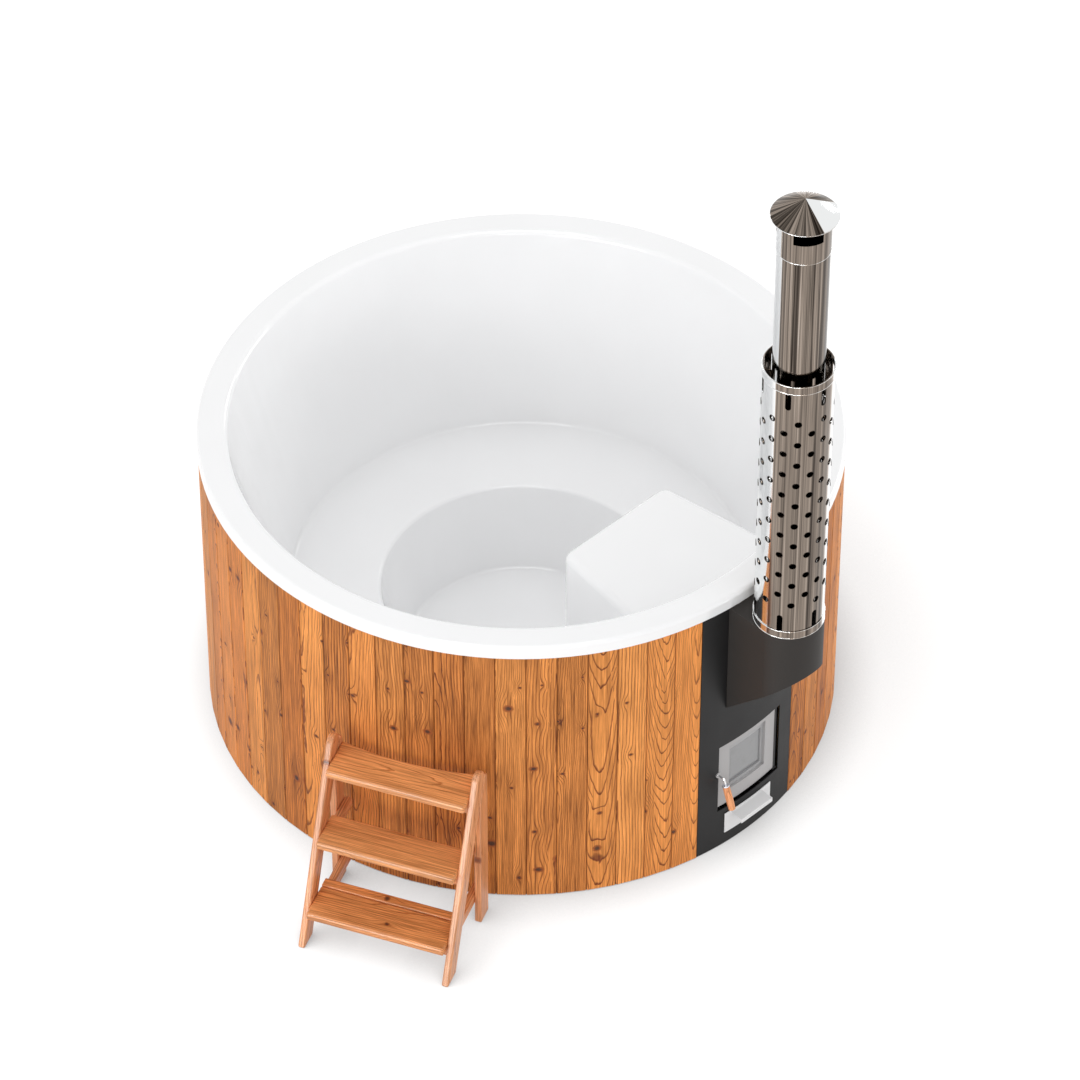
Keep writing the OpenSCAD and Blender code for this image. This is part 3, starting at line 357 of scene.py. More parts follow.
@dataclass(frozen=True)
class Acrylic:
    """Glossy white moulded liner."""

    colour: Colour = (0.962, 0.964, 0.970)
    roughness: float = 0.13

    def material(self, name: str) -> bpy.types.Material:
        """Builds the material, with faint waviness of a vacuum-formed sheet."""
        g = Graph(name)
        here = g.place()
        wave = g.noise(here, 5.0, 1.0)
        haze = g.noise(here, 34.0, 3.0)
        return g.surface(
            Base_Color=g.mix(wave.step(0.25, 0.75), self.colour, tuple(c * 0.985 for c in self.colour)),
            Roughness=haze * 0.07 + (self.roughness - 0.035),
            Normal=g.bump(wave, 0.0025, 0.3),
            Coat_Weight=0.4,
            Coat_Roughness=0.06,
        )


@dataclass(frozen=True)
class BoardWood:
    """Flat-sawn pine, seen on a mesh that carries grain and board_seed attributes."""

    early: Colour = (0.69, 0.256, 0.062)
    late: Colour = (0.19, 0.045, 0.010)
    knot: Colour = (0.33, 0.085, 0.020)
    heart: Colour = (0.050, 0.024, 0.017)
    rings: float = 0.0058
    tone_spread: float = 0.50
    knot_share: float = 0.62
    flat_sawn: float = 0.62
    knots_across: float = 14.0
    knots_along: float = 4.9
    pith_depth: float = 0.027
    # Painted shade in the grooves between boards; shade_joint sets how strongly it and the darker board edges apply.
    painted_groove_shade: Colour = (0.11, 0.032, 0.010)
    shade_joint: float = 0.0
    roughness: float = 0.5
    varnish: float = 0.2

    def material(self, name: str) -> bpy.types.Material:
        """Builds the material from growth rings about a wandering pith, knots, fibres and a tone for each board."""
        g = Graph(name)
        across, depth, along = g.split(g.attribute("grain", "Vector"))
        seed = g.attribute("board_seed", "Fac")
        luck = [(seed * k).fraction() for k in (7.13, 13.7, 29.3, 53.9, 91.7, 37.3)]
        knot_mask, knot_heart, knot_swell, push = self._knots(g, across, along, seed)
        late, slope = self._rings(g, across - push, depth, along, seed, luck, knot_swell)
        fibre = g.noise(g.combine(across * 260.0, depth * 260.0 + seed * 50.0, along * 7.0), 1.0, 3.0, 0.7)
        streak = g.noise(g.combine(across * 75.0 + seed * 13.0, depth * 60.0, along * 1.6), 1.0, 3.0, 0.65)
        blotch = g.noise(g.combine(across * 12.0 + seed * 31.0, depth * 9.0, along * 3.2 + seed * 5.0), 1.0, 2.0)
        late = late * (streak + 0.56) * (1.0 - slope * 0.34) * (luck[1] * 0.4 + 0.74)
        colour = g.mix(late, self.early, self.late)
        tone = (luck[3] - 0.5) * self.tone_spread + (streak - 0.5) * 0.8 + (fibre - 0.5) * 2.0 + 0.98
        tone = tone + (blotch - 0.5) * 0.6 + knot_swell * -0.14
        # Painted shade: darker towards the board's long edges, beside the joints.
        if self.shade_joint:
            tone = tone - across.size().step(0.030, 0.043) * 0.06
        colour = g.mix(1.0, colour, g.combine(tone, tone ** 1.12, tone ** 1.3), "MULTIPLY")
        red = g.mix(luck[4], (0.98, 0.90, 0.80), (1.03, 1.08, 1.12))
        colour = g.mix(1.0, colour, red, "MULTIPLY")
        colour = g.mix(knot_mask * 0.92, colour, g.mix(knot_heart, self.knot, self.heart))
        # Painted shade: the groove faces and the faces between boards get a dark colour.
        if self.shade_joint:
            colour = g.mix(depth.step(0.0006, 0.0026) * self.shade_joint, colour, self.painted_groove_shade)
        height = fibre * 0.5 + (1.0 - late) * 0.5 - knot_mask * 0.4
        return g.surface(
            Base_Color=colour,
            Roughness=(fibre - 0.5) * 0.2 + (1.0 - late) * 0.08 + self.roughness,
            Normal=g.bump(height, 0.00035),
            Specular_IOR_Level=self.varnish,
        )

    def _rings(
        self, g: Graph, across: Value, depth: Value, along: Value, seed: Value, luck: list[Value], swell: Value
    ) -> tuple[Value, Value]:
        """Growth rings cut by the board's face: arches where it is flat-sawn, straight lines where it isn't.

        Args:
            g: the material's graph.
            across: metres across the board.
            depth: metres into the board.
            along: metres along the board.
            seed: the board's own number.
            luck: random numbers of the board.
            swell: how the rings swell round knots.

        Returns:
            The dark late wood from 0 to 1, and how steeply the rings stand, 0 for flat-sawn and 1 for quarter-sawn.
        """
        lean = (luck[0] - 0.5) * (0.34 - 0.28 * self.flat_sawn)
        flat = lean.size().step(0.08, 0.02)
        drift = g.noise(g.combine(seed * 41.0, along * 1.8, 0.0), 1.0, 1.0) - 0.5
        sink = g.noise(g.combine(seed * 67.0, along * 2.0, 5.0), 1.0, 1.0) - 0.5
        wobble = g.noise(g.combine(across * 24.0 + seed * 9.0, depth * 20.0, along * 6.5), 1.0, 3.0, 0.6) - 0.5
        pith_across = across - lean - drift * 0.03
        pith_depth = depth + luck[1] * 0.03 + self.pith_depth + sink * 0.036
        radius = (pith_across * pith_across + pith_depth * pith_depth).root()
        slope = pith_across.size() / (radius + TINY)
        taper = along * (luck[2] - 0.5) * (flat * 0.20 + 0.02)
        grown = radius + wobble * 0.0085 + taper + swell * 0.007
        ring = (grown / ((luck[5] * 0.8 + 0.62) * self.rings)).fraction()
        width = slope * 0.26 + 0.2
        return ring.step(1.0 - width, 0.94) * ring.step(1.0, 0.95), slope

    def _knots(self, g: Graph, across: Value, along: Value, seed: Value) -> tuple[Value, Value, Value, Value]:
        """Round and oval knots at random places of each board.

        Args:
            g: the material's graph.
            across: metres across the board.
            along: metres along the board.
            seed: the board's own number.

        Returns:
            How much of a point is knot, how far it is the knot's heart, how near the knot is, and how far its
            growth pushes the grain sideways.
        """
        cell_x = across * self.knots_across + seed * 51.0
        cell_y = along * self.knots_along + seed * 23.0
        where = g.combine(cell_x, cell_y, 0.0)
        place = g.node(
            "ShaderNodeTexVoronoi",
            {"voronoi_dimensions": "2D", "feature": "F1"},
            {"Vector": where, "Scale": 1.0, "Randomness": 0.9},
            "Position",
        )
        chance = Value(g, place.socket.node.outputs["Color"])
        pick, grow, oval = g.split(chance)
        near_x, near_y, _ = g.split(place)
        away_x = (cell_x - near_x) / self.knots_across * (oval * 0.4 + 0.72)
        away_y = (cell_y - near_y) / self.knots_along * 1.05
        ragged = (g.noise(g.combine(across * 120.0, along * 170.0, seed * 7.0), 1.0, 3.0, 0.65) - 0.5) * 0.0075
        away = (away_x * away_x + away_y * away_y).root() + ragged
        here = pick.above(1.0 - self.knot_share)
        radius = (grow * grow * 0.0120 + 0.0047) * here
        mask = away.step(radius * 1.25, radius * 0.80)
        heart = away.step(radius * 0.85, radius * 0.30)
        reach = radius * 2.6 + TINY
        swell = ((away_x * away_x + away_y * away_y * 0.3) / (reach * reach)).decay() * here
        return mask, heart, swell, away_x * swell * 0.82


@dataclass(frozen=True)
class HiddenTimber:
    """Sawn spruce of the wall frame and base, drawn on object coordinates."""

    along: Point = (1.0, 1.0, 0.05)
    pale: Colour = (0.58, 0.40, 0.22)
    dark: Colour = (0.40, 0.24, 0.11)

    def material(self, name: str) -> bpy.types.Material:
        """Builds the material with grain stretched along one axis."""
        g = Graph(name)
        x, y, z = g.split(g.place())
        grain = g.combine(x * self.along[0], y * self.along[1], z * self.along[2])
        rings = g.noise(grain, 55.0, 3.0)
        fibre = g.noise(grain, 600.0, 2.0)
        share = (rings * 9.0).sine() * 0.3 + fibre * 0.4 + 0.3
        return g.surface(
            Base_Color=g.mix(share, self.pale, self.dark),
            Roughness=0.75 - fibre * 0.15,
            Normal=g.bump(fibre, 0.0006),
        )


@dataclass(frozen=True)
class PowderCoat:
    """Baked powder paint on sheet steel, with fine orange peel."""

    colour: Colour = (0.0090, 0.0086, 0.0090)
    roughness: float = 0.46
    peel: float = 0.00022
    specular: float = 0.24
    fleck: float = 0.25

    def material(self, name: str) -> bpy.types.Material:
        """Builds the material with orange peel, faint mottling and a little dust."""
        g = Graph(name)
        here = g.place()
        peel = g.noise(here, 900.0, 2.0)
        cloud = g.noise(here, 11.0, 3.0)
        dust = g.noise(here, 240.0, 3.0).step(0.62, 0.8)
        shade = (cloud - 0.5) * self.fleck + dust * self.fleck * 0.4 + 1.0
        return g.surface(
            Base_Color=g.shaded(self.colour, shade),
            Roughness=(cloud - 0.5) * 0.14 + self.roughness,
            Specular_IOR_Level=self.specular,
            Normal=g.bump(peel, self.peel),
        )


@dataclass(frozen=True)
class MirrorSteel:
    """Mirror-bright rolled stainless, whose long bands run along the flue and vary round it.

    The bands are pairs of an angle in degrees and a tone from 0 (black) to 1 (white). Angle 0 faces the photograph's
    viewer and the angles grow to the right.
    """

    bands: tuple[tuple[float, float], ...] = ((0.0, 0.5), (180.0, 0.45))
    streaks: float = 1.0
    axis: Point = (0.0, FLUE_Y, 0.0)
    # Brownish colour of the painted reflections' middle tones.
    steel: Colour = (0.225, 0.186, 0.155)
    roughness: float = 0.06

    def tones(self) -> list[tuple[float, Colour]]:
        """The bands as ramp stops, with the grey level as colour."""
        stops = sorted(((angle % 360.0) / 360.0, tone) for angle, tone in self.bands)
        return [(place, (tone, tone, tone)) for place, tone in stops]

    def material(self, name: str) -> bpy.types.Material:
        """Builds the material from bands round the flue's axis, fine roll lines and hairlines."""
        g = Graph(name)
        x, y, z = g.split(g.place(self.axis, (0.0, 0.0, VIEW_SIDE)))
        radius = (x * x + y * y).root() + TINY
        ring_x, ring_y = x / radius, y / radius
        # Painted reflection: each band's tone stands in for what the mirror reflects on that side of the flue.
        band = g.ramp(x.bearing(-y), self.tones())
        level, _, _ = g.split(band)
        sway = g.noise(g.combine(ring_x * 3.0, ring_y * 3.0, z * 0.8), 1.0, 2.0)
        fine = g.noise(g.combine(ring_x * 11.0, ring_y * 11.0, z * 0.7 + sway * 2.0), 1.0, 3.0, 0.75)
        hair = g.noise(g.combine(ring_x * 130.0, ring_y * 130.0, z * 2.5), 1.0, 2.0)
        # Painted reflection streaks along the flue, with faint hairlines.
        painted_streaks_and_hairlines = (fine - 0.5) * 1.5 + (hair - 0.5) * 0.3 - 0.05
        tone = level + painted_streaks_and_hairlines * self.streaks * level.step(1.05, 0.7)
        # Painted reflections: the darkest tones are black, the middle ones the brownish steel colour and the brightest
        # the reflected white surround.
        colour = g.ramp(
            tone,
            [
                (0.04, (0.010, 0.006, 0.004)),
                (0.28, tuple(c * 0.34 for c in self.steel)),
                (0.42, tuple(c * 0.85 for c in self.steel)),
                (0.55, tuple(c * 1.25 for c in self.steel)),
                (0.68, tuple(c * 1.7 + 0.05 for c in self.steel)),
                (0.86, (0.84, 0.85, 0.85)),
            ],
        )
        return g.surface(
            Base_Color=colour,
            Metallic=1.0,
            Roughness=hair * 0.05 + self.roughness,
            Normal=g.bump(hair, 0.00005),
        )


@dataclass(frozen=True)
class PlainMetal:
    """Drawn, turned or folded metal with fine tool lines."""

    colour: Colour = (0.60, 0.60, 0.59)
    roughness: float = 0.28
    stretch: Point = (1.0, 1.0, 0.06)

    def material(self, name: str) -> bpy.types.Material:
        """Builds the material with lines drawn along one direction."""
        g = Graph(name)
        x, y, z = g.split(g.place())
        lines = g.noise(g.combine(x * self.stretch[0], y * self.stretch[1], z * self.stretch[2]), 900.0, 3.0)
        stain = g.noise(g.place(), 18.0, 3.0)
        shade = (lines - 0.5) * 0.25 + (stain - 0.5) * 0.16 + 1.0
        return g.surface(
            Base_Color=g.shaded(self.colour, shade),
            Metallic=1.0,
            Roughness=lines * 0.14 + (self.roughness - 0.07),
            Normal=g.bump(lines, 0.00012),
        )


@dataclass(frozen=True)
class FirePane:
    """Smoke-grey glass of the fire door, a little sooty towards its edges."""

    colour: Colour = (0.30, 0.305, 0.312)

    def material(self, name: str) -> bpy.types.Material:
        """Builds the material; soot only shades the pane, and it stays a little see-through."""
        g = Graph(name)
        here = g.place()
        soot = g.noise(here, 26.0, 4.0)
        return g.surface(
            Base_Color=g.mix(soot.step(0.45, 0.85) * 0.5, self.colour, (0.20, 0.195, 0.19)),
            Roughness=soot * 0.08 + 0.05,
            Alpha=0.93 - soot * 0.02,
            Coat_Weight=0.5,
            Coat_Roughness=0.03,
        )


@dataclass(frozen=True)
class Moulding:
    """Moulded plastic or rubber with a fine spark-eroded grain."""

    colour: Colour = (0.4, 0.4, 0.41)
    roughness: float = 0.45

    def material(self, name: str) -> bpy.types.Material:
        """Builds the material with a fine grain."""
        g = Graph(name)
        grain = g.noise(g.place(), 1400.0, 2.0)
        cloud = g.noise(g.place(), 22.0, 2.0)
        shade = (cloud - 0.5) * 0.12 + 1.0
        return g.surface(
            Base_Color=g.shaded(self.colour, shade),
            Roughness=cloud * 0.12 + (self.roughness - 0.06),
            Normal=g.bump(grain, 0.0002),
        )


@dataclass(frozen=True)
class RopeSeal:
    """Braided glass-fibre rope pressed into a flat seal."""

    colour: Colour = (0.16, 0.155, 0.15)

    def material(self, name: str) -> bpy.types.Material:
        """Builds the material from two crossing sets of strands."""
        g = Graph(name)
        x, _, z = g.split(g.place())
        one = ((x + z) * 1900.0).sine()
        two = ((x - z) * 1900.0).sine()
        weave = one * two * 0.5 + 0.5
        return g.surface(
            Base_Color=g.mix(weave, tuple(c * 0.4 for c in self.colour), self.colour),
            Roughness=0.9,
            Normal=g.bump(weave, 0.0008),
        )


# ---- mesh helpers -------------------------------------------------------------


def tidy_object(name: str, mesh: bpy.types.Mesh) -> bpy.types.Object:
    """Links a new object at the origin that shows the mesh."""
    made = bpy.data.objects.new(name, mesh)
    bpy.context.scene.collection.objects.link(made)
    return made


def object_of(bm: bmesh.types.BMesh, name: str) -> bpy.types.Object:
    """Turns a finished bmesh into a linked object, and frees it."""
    mesh = bpy.data.meshes.new(name)
    bm.to_mesh(mesh)
    bm.free()
    return tidy_object(mesh.name, mesh)


def baked(holder: bpy.types.Object) -> bpy.types.Object:
    """Turns an object's modifiers into a plain mesh.

    Args:
        holder: the object, which is removed.

    Returns:
        A new object of the same name with the evaluated mesh.
    """
    graph = bpy.context.evaluated_depsgraph_get()
    mesh = bpy.data.meshes.new_from_object(holder.evaluated_get(graph), preserve_all_data_layers=True, depsgraph=graph)
    name = holder.name
    bpy.data.objects.remove(holder)
    mesh.name = name
    return tidy_object(name, mesh)


def refined(
    node: str,
    edge: float = 0.0,
    smooth: float = 32.0,
    name: str | None = None,
    reshape: Callable[[Vector], Vector] | None = None,
) -> bpy.types.Object:
    """Copies a CAD node, merges its corners and softens its edges.

    Args:
        node: the CAD node.
        edge: the width of the rounded edges in metres, or 0 for none.
        smooth: faces that meet below this angle in degrees shade as one.
        name: the new piece's name.
        reshape: moves a corner by a few millimetres where the real piece is finer than the CAD.

    Returns:
        The new piece, which still needs its body and material.
    """
    bm = bmesh.new()
    bm.from_mesh(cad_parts[node].data)
    bmesh.ops.remove_doubles(bm, verts=bm.verts, dist=MERGE_DISTANCE)
    bmesh.ops.dissolve_limit(bm, angle_limit=math.radians(FLAT_ANGLE), verts=bm.verts, edges=bm.edges)
    for vert in bm.verts if reshape else ():
        vert.co = reshape(vert.co)
    for face in bm.faces:
        face.smooth = True
    for edge_line in bm.edges:
        edge_line.smooth = edge_line.calc_face_angle(0.0) < math.radians(smooth)
    holder = object_of(bm, name or f"{node}_fine")
    if edge:
        soften = holder.modifiers.new("rounded edges", "BEVEL")
        soften.width = edge
        soften.segments = 2
        soften.limit_method = "ANGLE"
        soften.angle_limit = math.radians(smooth)
        soften.harden_normals = True
        soften.miter_outer = "MITER_ARC"
    weight = holder.modifiers.new("flat faces stay flat", "WEIGHTED_NORMAL")
    weight.keep_sharp = True
    weight.weight = NORMAL_WEIGHT
    return baked(holder)


def dress(piece: bpy.types.Object, material: bpy.types.Material) -> bpy.types.Object:
    """Gives a piece one material."""
    piece.data.materials.clear()
    piece.data.materials.append(material)
    return piece


def dress_nodes(material: bpy.types.Material, *nodes: str) -> None:
    """Gives CAD nodes that keep their shape one material."""
    for node in nodes:
        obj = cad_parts[node]
        if not obj.material_slots:
            obj.data.materials.append(material)
        for entry in obj.material_slots:
            entry.material = material
        LOG.info("%s keeps its CAD shape", node)


def take_over(piece: bpy.types.Object, body: Body, node: str | None) -> None:
    """Makes a piece ride on a body and stand for a CAD node.

    Args:
        piece: the finished piece.
        body: the body it moves with.
        node: the CAD node it replaces, if any.
        slot: the record's material slot.
    """
    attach(piece, body.value)
    if node:
        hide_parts(node)
    LOG.info("%s rides on %s with %d faces", piece.name, body.value, len(piece.data.polygons))


def recast(node: str, material: bpy.types.Material, body: Body, slot: str, **shape: object) -> None:
    """Puts a softened copy in a CAD node's place.

    Args:
        node: the CAD node.
        material: the copy's material.
        body: the body it moves with.
        slot: the record's material slot.
        shape: what refined takes besides the node.
    """
    take_over(dress(refined(node, **shape), material), body, node)


def store_grain(
    piece: bpy.types.Object, to_board: Callable[[Vector], Vector], seed_of: Callable[[Vector], float]
) -> None:
    """Writes the attributes that a wooden piece's material reads.

    Args:
        piece: the wooden piece.
        to_board: turns a place into metres across, into and along the board.
        seed_of: gives the number of the board that a place belongs to.
    """
    mesh = piece.data
    mesh.attributes.new("grain", "FLOAT_VECTOR", "POINT")
    mesh.attributes.new("board_seed", "FLOAT", "POINT")
    grain, seeds = mesh.attributes["grain"], mesh.attributes["board_seed"]
    for i, vertex in enumerate(mesh.vertices):
        grain.data[i].vector = to_board(vertex.co)
        seeds.data[i].value = seed_of(vertex.co)


# ---- geometry nodes -------------------------------------------------------------


class GeoTree:
    """A Geometry Nodes tree that is built node by node and run on one object."""

    def __init__(self, name: str) -> None:
        """Starts a tree with a geometry output."""
        self.tree = bpy.data.node_groups.new(name, "GeometryNodeTree")
        self.tree.interface.new_socket("Geometry", in_out="OUTPUT", socket_type="NodeSocketGeometry")
        self.entry = self.tree.nodes.new("NodeGroupInput")
        self.exit = self.tree.nodes.new("NodeGroupOutput")
        self.values: dict[str, object] = {}

    def size(self, name: str, kind: str, value: object) -> bpy.types.NodeSocket:
        """Adds a named input.

        Args:
            name: the input's name.
            kind: Float, Int, Object or Material.
            value: what the modifier gets.

        Returns:
            The socket to link from.
        """
        item = self.tree.interface.new_socket(name, in_out="INPUT", socket_type=f"NodeSocket{kind}")
        self.values[item.identifier] = value
        return next(s for s in self.entry.outputs if s.identifier == item.identifier)

    def add(
        self, kind: str, settings: dict[str, object] | None = None, inputs: "dict[str | int, object] | None" = None
    ) -> bpy.types.Node:
        """Adds a node; an input may be a socket, a node (its first output) or a plain value."""
        made = self.tree.nodes.new(kind)
        for key, value in (settings or {}).items():
            setattr(made, key, value)
        for key, value in (inputs or {}).items():
            if isinstance(value, bpy.types.Node):
                value = value.outputs[0]
            if isinstance(value, bpy.types.NodeSocket):
                self.tree.links.new(value, made.inputs[key])
            else:
                made.inputs[key].default_value = value
        return made

    def run(self, name: str, last: bpy.types.Node) -> bpy.types.Object:
        """Ends the tree, runs it and returns the plain result.

        Args:
            name: the piece's name.
            last: the node whose geometry is shown.

        Returns:
            The new object without its modifier.
        """
        self.tree.links.new(last.outputs[0], self.exit.inputs[0])
        holder = tidy_object(name, bpy.data.meshes.new(name))
        modifier = holder.modifiers.new(name, "NODES")
        modifier.node_group = self.tree
        for identifier, value in self.values.items():
            modifier[identifier] = value
        return baked(holder)


class RepeatTree(GeoTree):
    """Trees that repeat a shape round an upright axis or up a line."""

    def copies_round(
        self, shape: object, count: object, first: object, pitch: object
    ) -> tuple[bpy.types.Node, bpy.types.Node]:
        """Copies a shape about the upright axis.

        Args:
            shape: the geometry to copy.
            count: the number of copies.
            first: the first copy's angle in radians.
            pitch: the angle between copies in radians.

        Returns:
            The copies, and the index that tells them apart.
        """
        points = self.add("GeometryNodePoints", None, {"Count": count})
        index = self.add("GeometryNodeInputIndex")
        turned = self.add("ShaderNodeMath", {"operation": "MULTIPLY"}, {0: index, 1: pitch})
        angle = self.add("ShaderNodeMath", {"operation": "ADD"}, {0: turned, 1: first})
        about_z = self.add("ShaderNodeCombineXYZ", None, {2: angle})
        rotation = self.add("FunctionNodeEulerToRotation", None, {0: about_z})
        inputs = {"Points": points, "Instance": shape, "Rotation": rotation}
        return self.add("GeometryNodeInstanceOnPoints", None, inputs), index

    def copies_up(self, shape: object, start: object, step: object, count: object) -> bpy.types.Node:
        """Copies a shape from a start, one step apart, as one solid geometry."""
        inputs = {"Count": count, "Start Location": start, "Offset": step}
        line = self.add("GeometryNodeMeshLine", {"mode": "OFFSET"}, inputs)
        copies = self.add("GeometryNodeInstanceOnPoints", None, {"Points": line, "Instance": shape})
        return self.add("GeometryNodeRealizeInstances", None, {0: copies})

    def bead(self, radius: object, wire: object, steps: int, sides: int) -> bpy.types.Node:
        """A round wire bent to a ring, with steps round the ring and sides round the wire."""
        path = self.add("GeometryNodeCurvePrimitiveCircle", None, {"Resolution": steps, "Radius": radius})
        section = self.add("GeometryNodeCurvePrimitiveCircle", None, {"Resolution": sides, "Radius": wire})
        tube = self.add("GeometryNodeCurveToMesh", None, {"Curve": path, "Profile Curve": section})
        return self.add("GeometryNodeSetShadeSmooth", None, {0: tube})

    def painted(self, name: str, solid: bpy.types.Node, material: bpy.types.Material) -> bpy.types.Object:
        """Gives the geometry one material and returns the plain result."""
        finish = self.size("Finish", "Material", material)
        return self.run(name, self.add("GeometryNodeSetMaterial", None, {"Geometry": solid, "Material": finish}))


def ring_of_copies(
    name: str, blank: bpy.types.Object, count: int, first: float, pitch: float, material: bpy.types.Material, seed: int
) -> bpy.types.Object:
    """Copies a blank round the tub's axis and gives each copy its own board_seed.

    Args:
        name: the piece's name.
        blank: the object to copy, drawn facing -Y; it is removed.
        count: the number of copies.
        first: the first copy's angle in degrees.
        pitch: the angle between copies in degrees.
        material: the copies' material.
        seed: what the random numbers start from.

    Returns:
        One piece of all the copies.
    """
    t = RepeatTree(name)
    what = t.size("Blank", "Object", blank)
    many = t.size("Count", "Int", count)
    start = t.size("First angle", "Float", math.radians(first))
    step = t.size("Pitch", "Float", math.radians(pitch))
    chance = t.size("Seed", "Int", seed)
    shape = t.add("GeometryNodeObjectInfo", {"transform_space": "ORIGINAL"}, {"Object": what})
    copies, index = t.copies_round(shape.outputs["Geometry"], many, start, step)
    luck = t.add("FunctionNodeRandomValue", {"data_type": "FLOAT"}, {"ID": index, "Seed": chance})
    lucky = next(s for s in luck.outputs if s.enabled)
    marked = t.add(
        "GeometryNodeStoreNamedAttribute",
        {"data_type": "FLOAT", "domain": "INSTANCE"},
        {"Geometry": copies, "Name": "board_seed", "Value": lucky},
    )
    made = t.painted(name, t.add("GeometryNodeRealizeInstances", None, {0: marked}), material)
    bpy.data.objects.remove(blank)
    return made


def rolled_rings(
    name: str,
    radius: float,
    wire: float,
    low: float,
    spacing: float,
    count: int,
    material: bpy.types.Material,
) -> bpy.types.Object:
    """Makes rolled beads round the flue at even heights.

    Args:
        name: the piece's name.
        radius: the rings' radius.
        wire: half the bead's thickness.
        low: the lowest ring's height.
        spacing: the height between rings.
        count: the number of rings.
        material: the rings' material.

    Returns:
        One piece of all the rings.
    """
    t = RepeatTree(name)
    big = t.size("Ring radius", "Float", radius)
    small = t.size("Bead radius", "Float", wire)
    z_low = t.size("Lowest height", "Float", low)
    z_step = t.size("Spacing", "Float", spacing)
    many = t.size("Count", "Int", count)
    start = t.add("ShaderNodeCombineXYZ", None, {1: FLUE_Y, 2: z_low})
    step = t.add("ShaderNodeCombineXYZ", None, {2: z_step})
    rings = t.copies_up(t.bead(big, small, 96, 8), start, step, many)
    return t.painted(name, rings, material)


@dataclass(frozen=True)
class HoleGrid:
    """Where the guard's round holes are."""

    columns: int
    first: float
    rows: int
    low: float
    pitch: float
    hole_r: float
    guard_r: float


def hole_lips(name: str, grid: HoleGrid, lip: float, material: bpy.types.Material) -> bpy.types.Object:
    """Makes the pressed lip round each hole of the guard.

    Args:
        name: the piece's name.
        grid: where the holes are.
        lip: half the lip's thickness.
        material: the lips' material.

    Returns:
        One piece of all the lips.
    """
    t = RepeatTree(name)
    columns = t.size("Columns", "Int", grid.columns)
    rows = t.size("Rows", "Int", grid.rows)
    pitch = t.size("Pitch", "Float", grid.pitch)
    low = t.size("Lowest height", "Float", grid.low)
    hole = t.size("Hole radius", "Float", grid.hole_r)
    wall = t.size("Guard radius", "Float", grid.guard_r)
    thick = t.size("Lip radius", "Float", lip)
    first = t.size("First angle", "Float", math.radians(grid.first))
    ring = t.bead(hole, thick, 14, 4)
    upright = t.add("GeometryNodeTransform", None, {"Geometry": ring, "Rotation": (math.radians(90), 0.0, 0.0)})
    out = t.add("ShaderNodeMath", {"operation": "MULTIPLY"}, {0: wall, 1: -1.0})
    start = t.add("ShaderNodeCombineXYZ", None, {1: out, 2: low})
    step = t.add("ShaderNodeCombineXYZ", None, {2: pitch})
    column = t.copies_up(upright, start, step, rows)
    share = t.add("ShaderNodeMath", {"operation": "DIVIDE"}, {0: 2 * math.pi, 1: columns})
    around, _ = t.copies_round(column, columns, first, share)
    solid = t.add("GeometryNodeRealizeInstances", None, {0: around})
    moved = t.add("GeometryNodeTransform", None, {"Geometry": solid, "Translation": (0.0, FLUE_Y, 0.0)})
    return t.painted(name, moved, material)


# ---- sub-assemblies ----------------------------------------------------------------


@dataclass(frozen=True)
class SectionCorner:
    """A corner of the liner's section, as (reach, height) points, with its radius in the CAD and on the real tub."""

    before: tuple[float, float]
    point: tuple[float, float]
    after: tuple[float, float]
    cad_r: float
    real_r: float

    def tightened(self, place: Vector) -> Vector:
        """Moves a place on the CAD's rounding to the tighter one.

        Args:
            place: reach from the tub's axis and height, in metres.

        Returns:
            The new reach and height; a place off the rounding stays.
        """
        corner = Vector(self.point)
        back, on = (Vector(self.before) - corner).normalized(), (Vector(self.after) - corner).normalized()
        half = back.angle(on) / 2
        centre = corner + (back + on).normalized() * (self.cad_r / math.sin(half))
        near = (place - corner).length < self.cad_r / math.tan(half) + 0.0005
        if not near or abs((place - centre).length - self.cad_r) > 0.0009:
            return place
        return corner + (place - corner) * (self.real_r / self.cad_r)


@dataclass
class Liner:
    """The white moulded liner and what is screwed to it."""

    finish: Acrylic = field(default_factory=Acrylic)
    corners: tuple[SectionCorner, ...] = (
        SectionCorner((0.0, 0.085), (0.336, 0.085), (0.403, 0.345), 0.030, 0.013),
        SectionCorner((0.336, 0.085), (0.403, 0.345), (0.657, 0.365), 0.022, 0.012),
        SectionCorner((0.403, 0.345), (0.657, 0.365), (0.820, 0.960), 0.040, 0.014),
    )

    def tightened(self, place: Vector) -> Vector:
        """Moves a place on one of the CAD's wide roundings to the tighter one."""
        reach = math.hypot(place.x, place.y)
        flat = Vector((reach, place.z))
        for corner in self.corners:
            moved = corner.tightened(flat)
            if moved is not flat and reach > 0.1:
                return Vector((place.x * moved.x / reach, place.y * moved.x / reach, moved.y))
        return place

    def build(self) -> None:
        """Builds the liner from its CAD shape, with merged corners that shade smoothly."""
        white = self.finish.material("liner_white")
        recast("tub_shell", white, Body.TUB, "shell_white", smooth=27.0, name="liner", reshape=self.tightened)
        dress_nodes(Moulding((0.86, 0.86, 0.87), 0.35).material("grille_white"), "water_grilles")
        dress_nodes(Moulding((0.02, 0.02, 0.02), 0.6).material("gasket_black"), "pipe_gaskets")
        dress_nodes(PlainMetal((0.62, 0.62, 0.62), 0.22, (1, 1, 1)).material("strainer_steel"), "drain_strainer")


